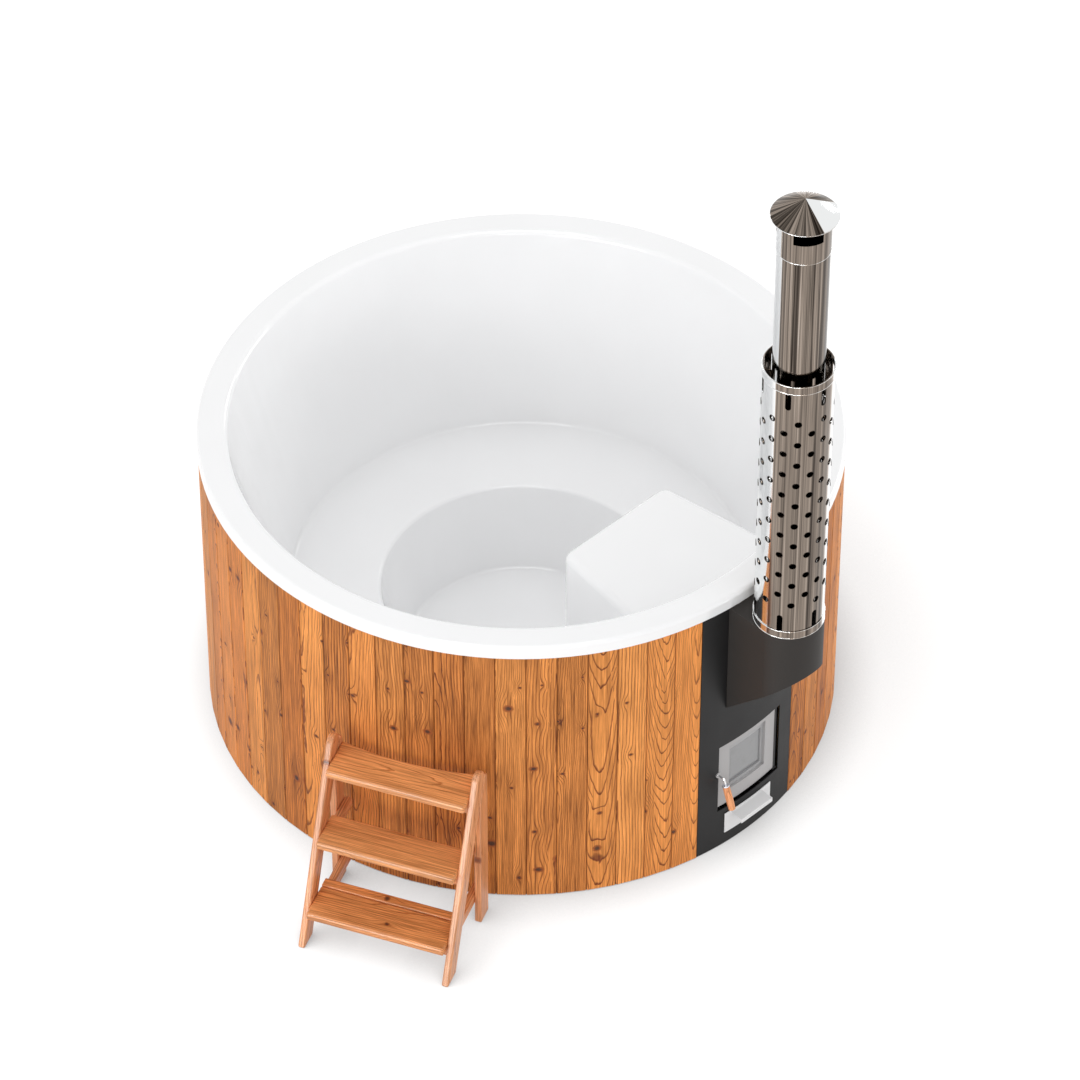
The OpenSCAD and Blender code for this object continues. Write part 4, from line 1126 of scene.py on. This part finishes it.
@dataclass
class Cladding:
    """The board wall: one blank, copied round the tub."""

    joint: float = 0.0004
    groove: float = 0.0026
    tongue_t: float = 0.005
    tongue_l: float = 0.006
    free: float = 0.0003
    wood: BoardWood = field(default_factory=lambda: BoardWood(shade_joint=0.62, roughness=0.47))

    def outline(self) -> list[tuple[float, float]]:
        """The board's section seen from above, facing -Y, tongue on the +X side."""
        half = math.radians(BOARD_PITCH / 2)
        out_r = TUB_R / math.cos(half)
        in_r = (TUB_R - BOARD_T) / math.cos(half)
        mid, gap = (out_r + in_r) / 2, self.joint / 2
        tongue, slot = self.tongue_t / 2, self.tongue_t / 2 + self.free

        def at(side: int, r: float, s: float) -> tuple[float, float]:
            """A point beside the board's edge."""
            return side * r * math.sin(half) + s * math.cos(half), -r * math.cos(half) + side * s * math.sin(half)

        lip = self.groove * 0.18
        right = [
            at(1, out_r, -gap - self.groove - lip),
            at(1, out_r - lip * 0.35, -gap - self.groove + lip * 0.2),
            at(1, out_r - self.groove, -gap),
            at(1, mid + tongue, -gap),
            at(1, mid + tongue, self.tongue_l),
            at(1, mid - tongue, self.tongue_l),
            at(1, mid - tongue, -gap),
            at(1, in_r, -gap),
        ]
        left = [
            at(-1, in_r, gap),
            at(-1, mid - slot, gap),
            at(-1, mid - slot, self.tongue_l + 2 * self.free),
            at(-1, mid + slot, self.tongue_l + 2 * self.free),
            at(-1, mid + slot, gap),
            at(-1, out_r - self.groove, gap),
            at(-1, out_r - lip * 0.35, gap + self.groove - lip * 0.2),
            at(-1, out_r, gap + self.groove + lip),
        ]
        return right + left

    def blank(self, tongue: bool = True) -> bpy.types.Object:
        """Makes one board facing -Y.

        Args:
            tongue: whether the board keeps its tongue; the last one beside the panel has none.

        Returns:
            The board with its grain attribute.
        """
        pts = self.outline()
        if not tongue:
            pts = pts[:3] + pts[7:]
        bm = bmesh.new()
        ends = [bm.faces.new([bm.verts.new((x, y, z)) for x, y in pts]) for z in (BOARD_LOW, BOARD_TOP)]
        low, high = list(ends[0].verts), list(ends[1].verts)
        for i in range(len(pts)):
            j = (i + 1) % len(pts)
            bm.faces.new((low[i], low[j], high[j], high[i]))
        bmesh.ops.recalc_face_normals(bm, faces=bm.faces)
        bmesh.ops.triangulate(bm, faces=ends)
        made = object_of(bm, "board_blank")
        grain = made.data.attributes.new("grain", "FLOAT_VECTOR", "POINT")
        for i, vertex in enumerate(made.data.vertices):
            grain.data[i].vector = (vertex.co.x, vertex.co.y + TUB_R, vertex.co.z)
        return made

    def build(self) -> None:
        """Copies the board round the tub, with the last one cut beside the panel."""
        first = PANEL_ANGLE / 2 + BOARD_PITCH / 2
        end = first + BOARD_PITCH * (BOARD_COUNT - 1)
        wood = self.wood.material("cladding_wood")
        many = ring_of_copies("cladding", self.blank(), BOARD_COUNT - 1, first, BOARD_PITCH, wood, 11)
        last = ring_of_copies("cladding_last", self.blank(False), 1, end, BOARD_PITCH, wood, 5)
        take_over(many, Body.TUB, "cladding_boards")
        take_over(last, Body.TUB, None)


@dataclass
class Base:
    """Skids, deck, posts, studs and bent formers behind the boards."""

    def build(self) -> None:
        """Gives each timber its grain direction."""
        dress_nodes(HiddenTimber((1.0, 1.0, 0.05)).material("timber_upright"), "wall_studs", "seat_posts")
        dress_nodes(HiddenTimber((1.0, 0.05, 1.0)).material("timber_skid"), "base_skids")
        across = HiddenTimber((0.05, 1.0, 1.0)).material("timber_deck")
        dress_nodes(across, "deck_planks", "drain_plank_front", "drain_plank_back")
        bent = HiddenTimber((0.3, 0.3, 1.6), (0.50, 0.34, 0.19), (0.34, 0.20, 0.10))
        dress_nodes(bent.material("timber_former"), "wall_formers")


@dataclass
class HeaterFront:
    """The dark panel with the fire door, the latch and the ash drawer, and the heater behind it."""

    anthracite: PowderCoat = field(default_factory=PowderCoat)
    silver: PowderCoat = field(default_factory=lambda: PowderCoat((0.44, 0.43, 0.43), 0.36, 0.00012, 0.4, 0.05))

    def build(self) -> None:
        """Builds the panel, the heater, the door, the latch and the drawer."""
        self.build_panel()
        self.build_heater()
        self.build_door()
        self.build_latch()
        self.build_drawer()

    def build_panel(self) -> None:
        """Softens the panel's cut edges."""
        dark = self.anthracite.material("panel_dark")
        recast("heater_panel", dark, Body.TUB, "panel_dark", edge=0.0007, name="panel")

    def build_heater(self) -> None:
        """Dresses the hidden heater and what joins it to the panel."""
        black = PowderCoat((0.02, 0.019, 0.018), 0.62, 0.0004, 0.25, 0.5).material("heater_black")
        dress_nodes(black, "heater_body", "smoke_duct", "drawer_runners", "flue_collar", "glass_retainer")
        # Painted light: the neck is a lighter grey than the heater's black, so that the shaded gap beside the door
        # doesn't show black.
        dress_nodes(PowderCoat((0.075, 0.072, 0.072), 0.5).material("neck_grey"), "door_neck")
        hinge = PowderCoat((0.03, 0.03, 0.03), 0.4, 0.0002, 0.4, 0.3).material("hinge_dark")
        dress_nodes(hinge, "hinge_lugs", "hinge_barrel", "latch_keeper", "latch_cam")
        dress_nodes(PlainMetal((0.09, 0.08, 0.07), 0.7, (1, 1, 1)).material("grate_iron"), "fire_grate")
        steel = PlainMetal((0.58, 0.58, 0.57), 0.3, (1.0, 0.05, 1.0)).material("pipe_steel")
        dress_nodes(steel, "water_pipes", "hinge_pin")

    def build_door(self) -> None:
        """Builds the door's face, its stepped ledge, the pane and the seal."""
        silver = self.silver.material("door_silver")
        ledge = PowderCoat((0.40, 0.40, 0.405), 0.34, 0.00012, 0.4, 0.05).material("door_ledge")
        recast("door_face", silver, Body.DOOR, "door_silver", edge=0.0009)
        recast("door_back", ledge, Body.DOOR, "door_silver")
        recast("door_glass", FirePane().material("fire_pane"), Body.DOOR, "door_glass", edge=0.0005, name="pane")
        dress_nodes(RopeSeal().material("seal_rope"), "door_seal")

    def build_latch(self) -> None:
        """Builds the bent rod, the ferrule and the turned grip."""
        dress_nodes(PlainMetal((0.78, 0.78, 0.79), 0.16, (1, 1, 1)).material("rod_bright"), "latch_arm")
        steel = PlainMetal((0.72, 0.74, 0.80), 0.3, (1, 1, 1)).material("ferrule_steel")
        recast("latch_ferrule", steel, Body.LATCH, "ferrule_steel", edge=0.0008, smooth=40.0)
        self.build_grip()

    def build_grip(self) -> None:
        """Turns the grip: a faintly barrelled rod with rounded ends and two scribed lines."""
        low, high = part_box("latch_grip")
        tilt = math.radians(GRIP_TILT)
        down = Vector((0.0, -math.sin(tilt), -math.cos(tilt)))
        sides = 32
        centre = (low + high) / 2
        side, front = Vector((1.0, 0.0, 0.0)), down.cross(Vector((1.0, 0.0, 0.0)))
        profile: list[tuple[float, float]] = []
        for i in range(sides + 1):
            t = i / sides
            end = min(t, 1 - t) * GRIP_LENGTH
            lip = 1 - max(0.0, 1 - end / 0.003) ** 2 * 0.28
            scribe = 1 - 0.05 * math.exp(-(((end - 0.008) / 0.0007) ** 2))
            barrel = 0.93 + 0.07 * math.sin(math.pi * t)
            profile.append(((t - 0.5) * GRIP_LENGTH, GRIP_R * barrel * lip * scribe))
        bm = bmesh.new()
        rings = [
            [
                bm.verts.new(centre + down * s + (side * math.cos(a) + front * math.sin(a)) * r)
                for a in (2 * math.pi * k / sides for k in range(sides))
            ]
            for s, r in profile
        ]
        for one, two in zip(rings, rings[1:]):
            for k in range(sides):
                bm.faces.new((one[k], one[(k + 1) % sides], two[(k + 1) % sides], two[k])).smooth = True
        bm.faces.new(rings[0])
        bm.faces.new(rings[-1])
        bmesh.ops.recalc_face_normals(bm, faces=bm.faces)
        piece = object_of(bm, "grip")
        store_grain(
            piece,
            lambda p: Vector(((p - centre).dot(side) * 2.0, (p - centre).dot(front) * 2.0, (p - centre).dot(down))),
            lambda p: 0.37,
        )
        wood = BoardWood((0.70, 0.295, 0.130), (0.36, 0.10, 0.035), rings=0.0045, knot_share=0.0, roughness=0.36)
        take_over(dress(piece, wood.material("grip_wood")), Body.LATCH, "latch_grip")

    def build_drawer(self) -> None:
        """Softens the folded edges of the drawer's front and pull."""
        pale = PowderCoat((0.82, 0.82, 0.825), 0.34, 0.00012, 0.4, 0.05)
        for node in ("drawer_front", "drawer_pull"):
            recast(node, pale.material(f"{node}_silver"), Body.DRAWER, "drawer_silver", edge=0.0006)
        dress_nodes(PlainMetal((0.35, 0.345, 0.34), 0.45, (1, 1, 1)).material("tray_steel"), "ash_tray")


@dataclass
class Flue:
    """The housing, the mirror-bright pipe, its perforated guard and the cap."""

    band_r: float = 0.0967
    holes: tuple[HoleGrid, HoleGrid] = (
        HoleGrid(8, 0.0, 10, 1.040, HOLE_PITCH, HOLE_R, GUARD_R),
        HoleGrid(8, 22.5, 9, 1.076, HOLE_PITCH, HOLE_R, GUARD_R),
    )

    def build(self) -> None:
        """Builds the housing, the pipe, the guard and the cap."""
        self.build_housing()
        self.build_pipe()
        self.build_guard()
        self.build_cap()

    def build_housing(self) -> None:
        """Softens the housing's folds and gives it its paint."""
        coat = PowderCoat((0.034, 0.0300, 0.0275), 0.55, 0.0002, 0.17, 0.2)
        dark = coat.material("housing_dark")
        recast("flue_housing", dark, Body.TUB, "housing_dark", edge=0.0012, smooth=20.0, name="housing")

    def build_pipe(self) -> None:
        """Dresses the flue pipe with its long reflections."""
        steel = MirrorSteel(PIPE_PAINTED_REFLECTIONS).material("flue_mirror")
        recast("flue_pipe", steel, Body.TUB, "flue_mirror", smooth=FLUE_SMOOTH)

    def build_guard(self) -> None:
        """Dresses the guard and adds its rolled beads and pressed lips."""
        # Painted reflections on the guard and its bands; painted glints on the beads.
        steel = MirrorSteel(GUARD_PAINTED_REFLECTIONS, 0.7).material("guard_mirror")
        bead = MirrorSteel(BEAD_PAINTED_REFLECTIONS, 0.4).material("bead_bright")
        for node in ("heat_guard", "guard_top_band", "guard_bottom_band"):
            slot = "guard_mirror" if node == "heat_guard" else "band_mirror"
            recast(node, steel, Body.TUB, slot, smooth=FLUE_SMOOTH)
        dress_nodes(steel, "guard_spacers")
        for name, low, spacing in (("top_beads", 1.7925, 0.0248), ("bottom_beads", 0.9196, 0.0243)):
            rings = rolled_rings(name, self.band_r, 0.0011, low, spacing, 2, bead)
            take_over(rings, Body.TUB, None)
        # Painted shade: the lips are dark so that the holes look wider and shaded at their edges.
        shade = MirrorSteel(((0.0, 0.16), (180.0, 0.16)), 0.4).material("lip_shade")
        for k, grid in enumerate(self.holes):
            take_over(hole_lips(f"hole_lips_{k}", grid, 0.0007, shade), Body.TUB, None)

    def build_cap(self) -> None:
        """Dresses the collar and the cone, and adds the collar's bead."""
        steel = MirrorSteel(COLLAR_PAINTED_REFLECTIONS, 0.8).material("collar_mirror")
        recast("cap_collar", steel, Body.TUB, "cap_mirror", smooth=FLUE_SMOOTH)
        fan = MirrorSteel(CONE_PAINTED_REFLECTIONS, 0.9).material("cone_mirror")
        recast("cap_cone", fan, Body.TUB, "cap_mirror", smooth=FLUE_SMOOTH)
        # Painted glints on the collar's and the cone's beads.
        bead = MirrorSteel(BEAD_PAINTED_REFLECTIONS, 0.4).material("collar_bead_bright")
        for name, radius, height in (("collar_bead", 0.0714, 2.2112), ("cone_bead", 0.0893, 2.3203)):
            take_over(rolled_rings(name, radius, 0.0009, height, 0.1, 1, bead), Body.TUB, None)


@dataclass
class Drain:
    """The drain on the far side."""

    def build(self) -> None:
        """Dresses the pipe, the valve, its lever and the hose tail."""
        grey = Moulding((0.33, 0.34, 0.35), 0.4).material("drain_grey")
        dress_nodes(grey, "drain_elbow", "drain_pipe")
        brass = PlainMetal((0.72, 0.50, 0.22), 0.3, (1.0, 0.2, 1.0)).material("valve_brass")
        dress_nodes(brass, "valve_body", "hose_tail")
        red = PowderCoat((0.45, 0.03, 0.02), 0.35, 0.0002, 0.45, 0.1).material("lever_red")
        recast("valve_lever", red, Body.LEVER, "lever_red", edge=0.0006)


@dataclass
class Steps:
    """The free-standing steps, with rounded edges and grain along each piece."""

    # The frame's wood is paler and pinker than the treads': partly its own tone, partly painted sheen on the
    # stringers' faces.
    frame_wood: BoardWood = field(
        default_factory=lambda: BoardWood(
            (0.73, 0.325, 0.145),
            (0.53, 0.195, 0.072),
            knot_share=0.12,
            roughness=0.30,
            tone_spread=0.2,
            flat_sawn=0.1,
            varnish=0.6,
        )
    )
    tread_wood: BoardWood = field(
        default_factory=lambda: BoardWood(
            (0.79, 0.330, 0.113),
            (0.46, 0.145, 0.040),
            rings=0.0048,
            knot_share=0.3,
            roughness=0.30,
            tone_spread=0.14,
            varnish=0.6,
        )
    )

    def to_steps(self, p: Vector) -> Vector:
        """A place as metres across the steps, outwards from the tub, and up."""
        a = math.radians(STEPS_ANGLE)
        across, out = Vector((math.cos(a), math.sin(a), 0.0)), Vector((math.sin(a), -math.cos(a), 0.0))
        return Vector((p.dot(across) - STEPS_SHIFT, p.dot(out), p.z))

    def build(self) -> None:
        """Builds each wooden piece from its CAD shape."""
        frame_wood = self.frame_wood.material("steps_frame_wood")
        tread_wood = self.tread_wood.material("steps_tread_wood")
        lean = math.radians(STRINGER_LEAN)

        def along_stringer(p: Vector) -> Vector:
            """Grain along the leaning stringer."""
            q = self.to_steps(p)
            d = q.y - STRINGER_FOOT
            return Vector((d * math.cos(lean) + q.z * math.sin(lean), q.x, q.z * math.cos(lean) - d * math.sin(lean)))

        def upright(p: Vector) -> Vector:
            """Grain along an upright leg."""
            q = self.to_steps(p)
            return Vector((q.y - LEG_REACH, q.x, q.z))

        def outwards(p: Vector) -> Vector:
            """Grain along a side rail."""
            q = self.to_steps(p)
            return Vector((q.z * 1.5, q.x, q.y))

        def sideways(node: str) -> Callable[[Vector], Vector]:
            """Grain along a tread, measured from the middle of its top."""
            low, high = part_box(node)
            top = self.to_steps(Vector(((low.x + high.x) / 2, (low.y + high.y) / 2, high.z)))

            def grain(p: Vector) -> Vector:
                """Metres across, into and along the tread."""
                q = self.to_steps(p) - top
                return Vector((q.y, -q.z, q.x))

            return grain

        def side(offset: float) -> Callable[[Vector], float]:
            """One number for the left piece and one for the right."""
            return lambda p: (0.21 if self.to_steps(p).x < 0 else 0.64) + offset

        def rail(p: Vector) -> float:
            """One number for each of the six rails."""
            q = self.to_steps(p)
            return (0.12 if q.x < 0 else 0.47) + 0.13 * round(q.z / TREAD_RISE)

        pieces: list[tuple[str, float, Callable[[Vector], Vector], Callable[[Vector], float], bpy.types.Material, str]]
        pieces = [
            ("stair_stringers", 0.0042, along_stringer, side(0.0), frame_wood, "steps_frame_wood"),
            ("stair_legs", 0.003, upright, side(0.17), frame_wood, "steps_frame_wood"),
            ("side_rails", 0.0025, outwards, rail, frame_wood, "steps_frame_wood"),
            ("back_slat", 0.003, sideways("back_slat"), lambda p: 0.33, tread_wood, "steps_tread_wood"),
            ("top_tread", 0.0045, sideways("top_tread"), lambda p: 0.77, tread_wood, "steps_tread_wood"),
            ("middle_tread", 0.0045, sideways("middle_tread"), lambda p: 0.15, tread_wood, "steps_tread_wood"),
            ("bottom_tread", 0.0045, sideways("bottom_tread"), lambda p: 0.58, tread_wood, "steps_tread_wood"),
        ]
        for node, edge, grain, seed, wood, slot in pieces:
            piece = dress(refined(node, edge, STEPS_SMOOTH), wood)
            store_grain(piece, grain, seed)
            take_over(piece, Body.STEPS, node)


# ---- studio ---------------------------------------------------------------------


@dataclass(frozen=True)
class Lamp:
    """A rectangular lamp; a card is one that lights nothing and only shows as sheen on glossy surfaces."""

    name: str
    place: Point
    wide: float
    high: float
    watts: float
    card: bool = False

    def hang(self, aim: Vector) -> None:
        """Hangs the lamp so that it faces the given point."""
        data = bpy.data.lights.new(self.name, "AREA")
        data.shape = "RECTANGLE"
        data.size, data.size_y = self.wide, self.high
        data.energy = self.watts
        lamp = bpy.data.objects.new(self.name, data)
        lamp.visible_diffuse = not self.card
        bpy.context.scene.collection.objects.link(lamp)
        turn = (aim - Vector(self.place)).to_track_quat("-Z", "Y").to_matrix().to_4x4()
        lamp.matrix_world = Matrix.Translation(self.place) @ turn


@dataclass(frozen=True)
class Studio:
    """Camera, floor and light of the photograph."""

    eye: Point = (-8.5129957, -8.6780227, 11.8995445)
    heading: float = 44.69086637
    pitch: float = 43.13754253
    roll: float = 0.05581202
    lens: float = 196.41667
    sensor: float = 36.0
    fill: float = 0.89
    floor_size: float = 40.0
    floor_drop: float = 0.0006
    floor_lights: Colour = (0.78, 0.78, 0.78)
    floor_seen: Colour = (0.125, 0.112, 0.105)
    lit_from: Point = (-1.7, 0.1, 0.0)
    wide_shade: float = 0.6
    near_shade: float = 0.14
    aim: Point = (-0.5, -0.4, 0.5)
    lamps: tuple[Lamp, ...] = (
        Lamp("key", (-8.0, -1.0, 3.2), 2.0, 2.0, 105.0),
        Lamp("left_card", (-5.0, -1.8, 0.8), 2.6, 1.8, 170.0, card=True),
        Lamp("top_card", (-2.1, -2.0, 8.5), 4.5, 0.8, 180.0, card=True),
        Lamp("front_fill", (-7.0, -8.0, 2.4), 3.0, 2.0, 80.0),
        Lamp("right_fill", (7.5, -2.5, 2.8), 3.0, 2.0, 90.0),
        Lamp("right_card", (7.2, 1.2, 4.8), 1.6, 1.6, 60.0, card=True),
    )

    def build(self) -> None:
        """Sets up the camera, the floor, the world and the lamps."""
        self.place_camera()
        self.lay_floor()
        self.light_world()
        for lamp in self.lamps:
            lamp.hang(Vector(self.aim))
        bpy.context.scene.view_settings.view_transform = "Standard"

    def place_camera(self) -> None:
        """Places the camera that the photograph's ellipses and uprights give."""
        data = bpy.data.cameras.new("camera")
        data.sensor_width = self.sensor
        data.lens = self.lens
        data.clip_start, data.clip_end = 1.0, 200.0
        camera = bpy.data.objects.new("camera", data)
        bpy.context.scene.collection.objects.link(camera)
        turn = (
            Matrix.Rotation(math.radians(-self.heading), 4, "Z")
            @ Matrix.Rotation(math.radians(90.0 - self.pitch), 4, "X")
            @ Matrix.Rotation(math.radians(self.roll), 4, "Z")
        )
        camera.matrix_world = Matrix.Translation(self.eye) @ turn
        bpy.context.scene.camera = camera

    def lay_floor(self) -> None:
        """Lays a pale floor that looks white to the camera and keeps the object's shadow."""
        bm = bmesh.new()
        bmesh.ops.create_grid(bm, x_segments=1, y_segments=1, size=self.floor_size)
        floor = object_of(bm, "floor")
        floor.location.z = -self.floor_drop
        g = Graph("floor_white")
        seen = self.seen(g)
        plain = g.node("ShaderNodeBsdfDiffuse", None, {"Color": _rgba(self.floor_lights)})
        dim = g.node("ShaderNodeBsdfDiffuse", None, {"Color": _rgba(self.floor_seen)})
        upwards = g.node("ShaderNodeNewGeometry", None, None, "Normal")
        to_light = g.node("ShaderNodeVectorMath", {"operation": "ADD"}, {0: upwards, 1: self.lit_from}, "Vector")
        occluder, fine = "ShaderNodeAmbientOcclusion", {"samples": 6}
        wide = g.node(occluder, fine, {"Distance": self.wide_shade, "Normal": to_light}, "AO")
        near = g.node(occluder, fine, {"Distance": self.near_shade}, "AO")
        shade = 1.08 - (1.0 - wide) * 0.56 - (1.0 - near) * 0.50
        glow = g.node("ShaderNodeEmission", None, {"Color": g.combine(shade, shade, shade), "Strength": 1.0})
        shown = g.node("ShaderNodeAddShader", None, {0: dim, 1: glow})
        g.end(g.node("ShaderNodeMixShader", None, {0: seen, 1: plain, 2: shown}))
        dress(floor, g.material)

    @staticmethod
    def seen(g: Graph) -> Value:
        """1 for rays that show the background: straight, mirrored or through glass."""
        path = g.node("ShaderNodeLightPath", None, None, "Is Camera Ray")
        outs = path.socket.node.outputs
        mirrored, through = Value(g, outs["Is Glossy Ray"]), Value(g, outs["Is Transmission Ray"])
        return 1.0 - (1.0 - path) * (1.0 - mirrored) * (1.0 - through)

    def light_world(self) -> None:
        """A white surround: full white where it is seen, softer where it lights."""
        world = bpy.data.worlds.new("studio")
        bpy.context.scene.world = world
        g = Graph("studio", world)
        seen = self.seen(g)
        fill = g.node("ShaderNodeBackground", None, {"Color": (1, 1, 1, 1), "Strength": self.fill})
        white = g.node("ShaderNodeBackground", None, {"Color": (1, 1, 1, 1), "Strength": 1.0})
        mixed = g.node("ShaderNodeMixShader", None, {0: seen, 1: fill, 2: white})
        g.end(mixed, "ShaderNodeOutputWorld")


def main() -> None:
    """Builds the scene in order and writes the sizes before and after."""
    logging.basicConfig(level=logging.INFO, format="%(name)s: %(message)s")
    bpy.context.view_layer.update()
    Studio().build()
    for part in (Liner(), Cladding(), Base(), HeaterFront(), Flue(), Drain(), Steps()):
        LOG.info("building %s", type(part).__name__)
        part.build()


if __name__ == "__main__":
    main()
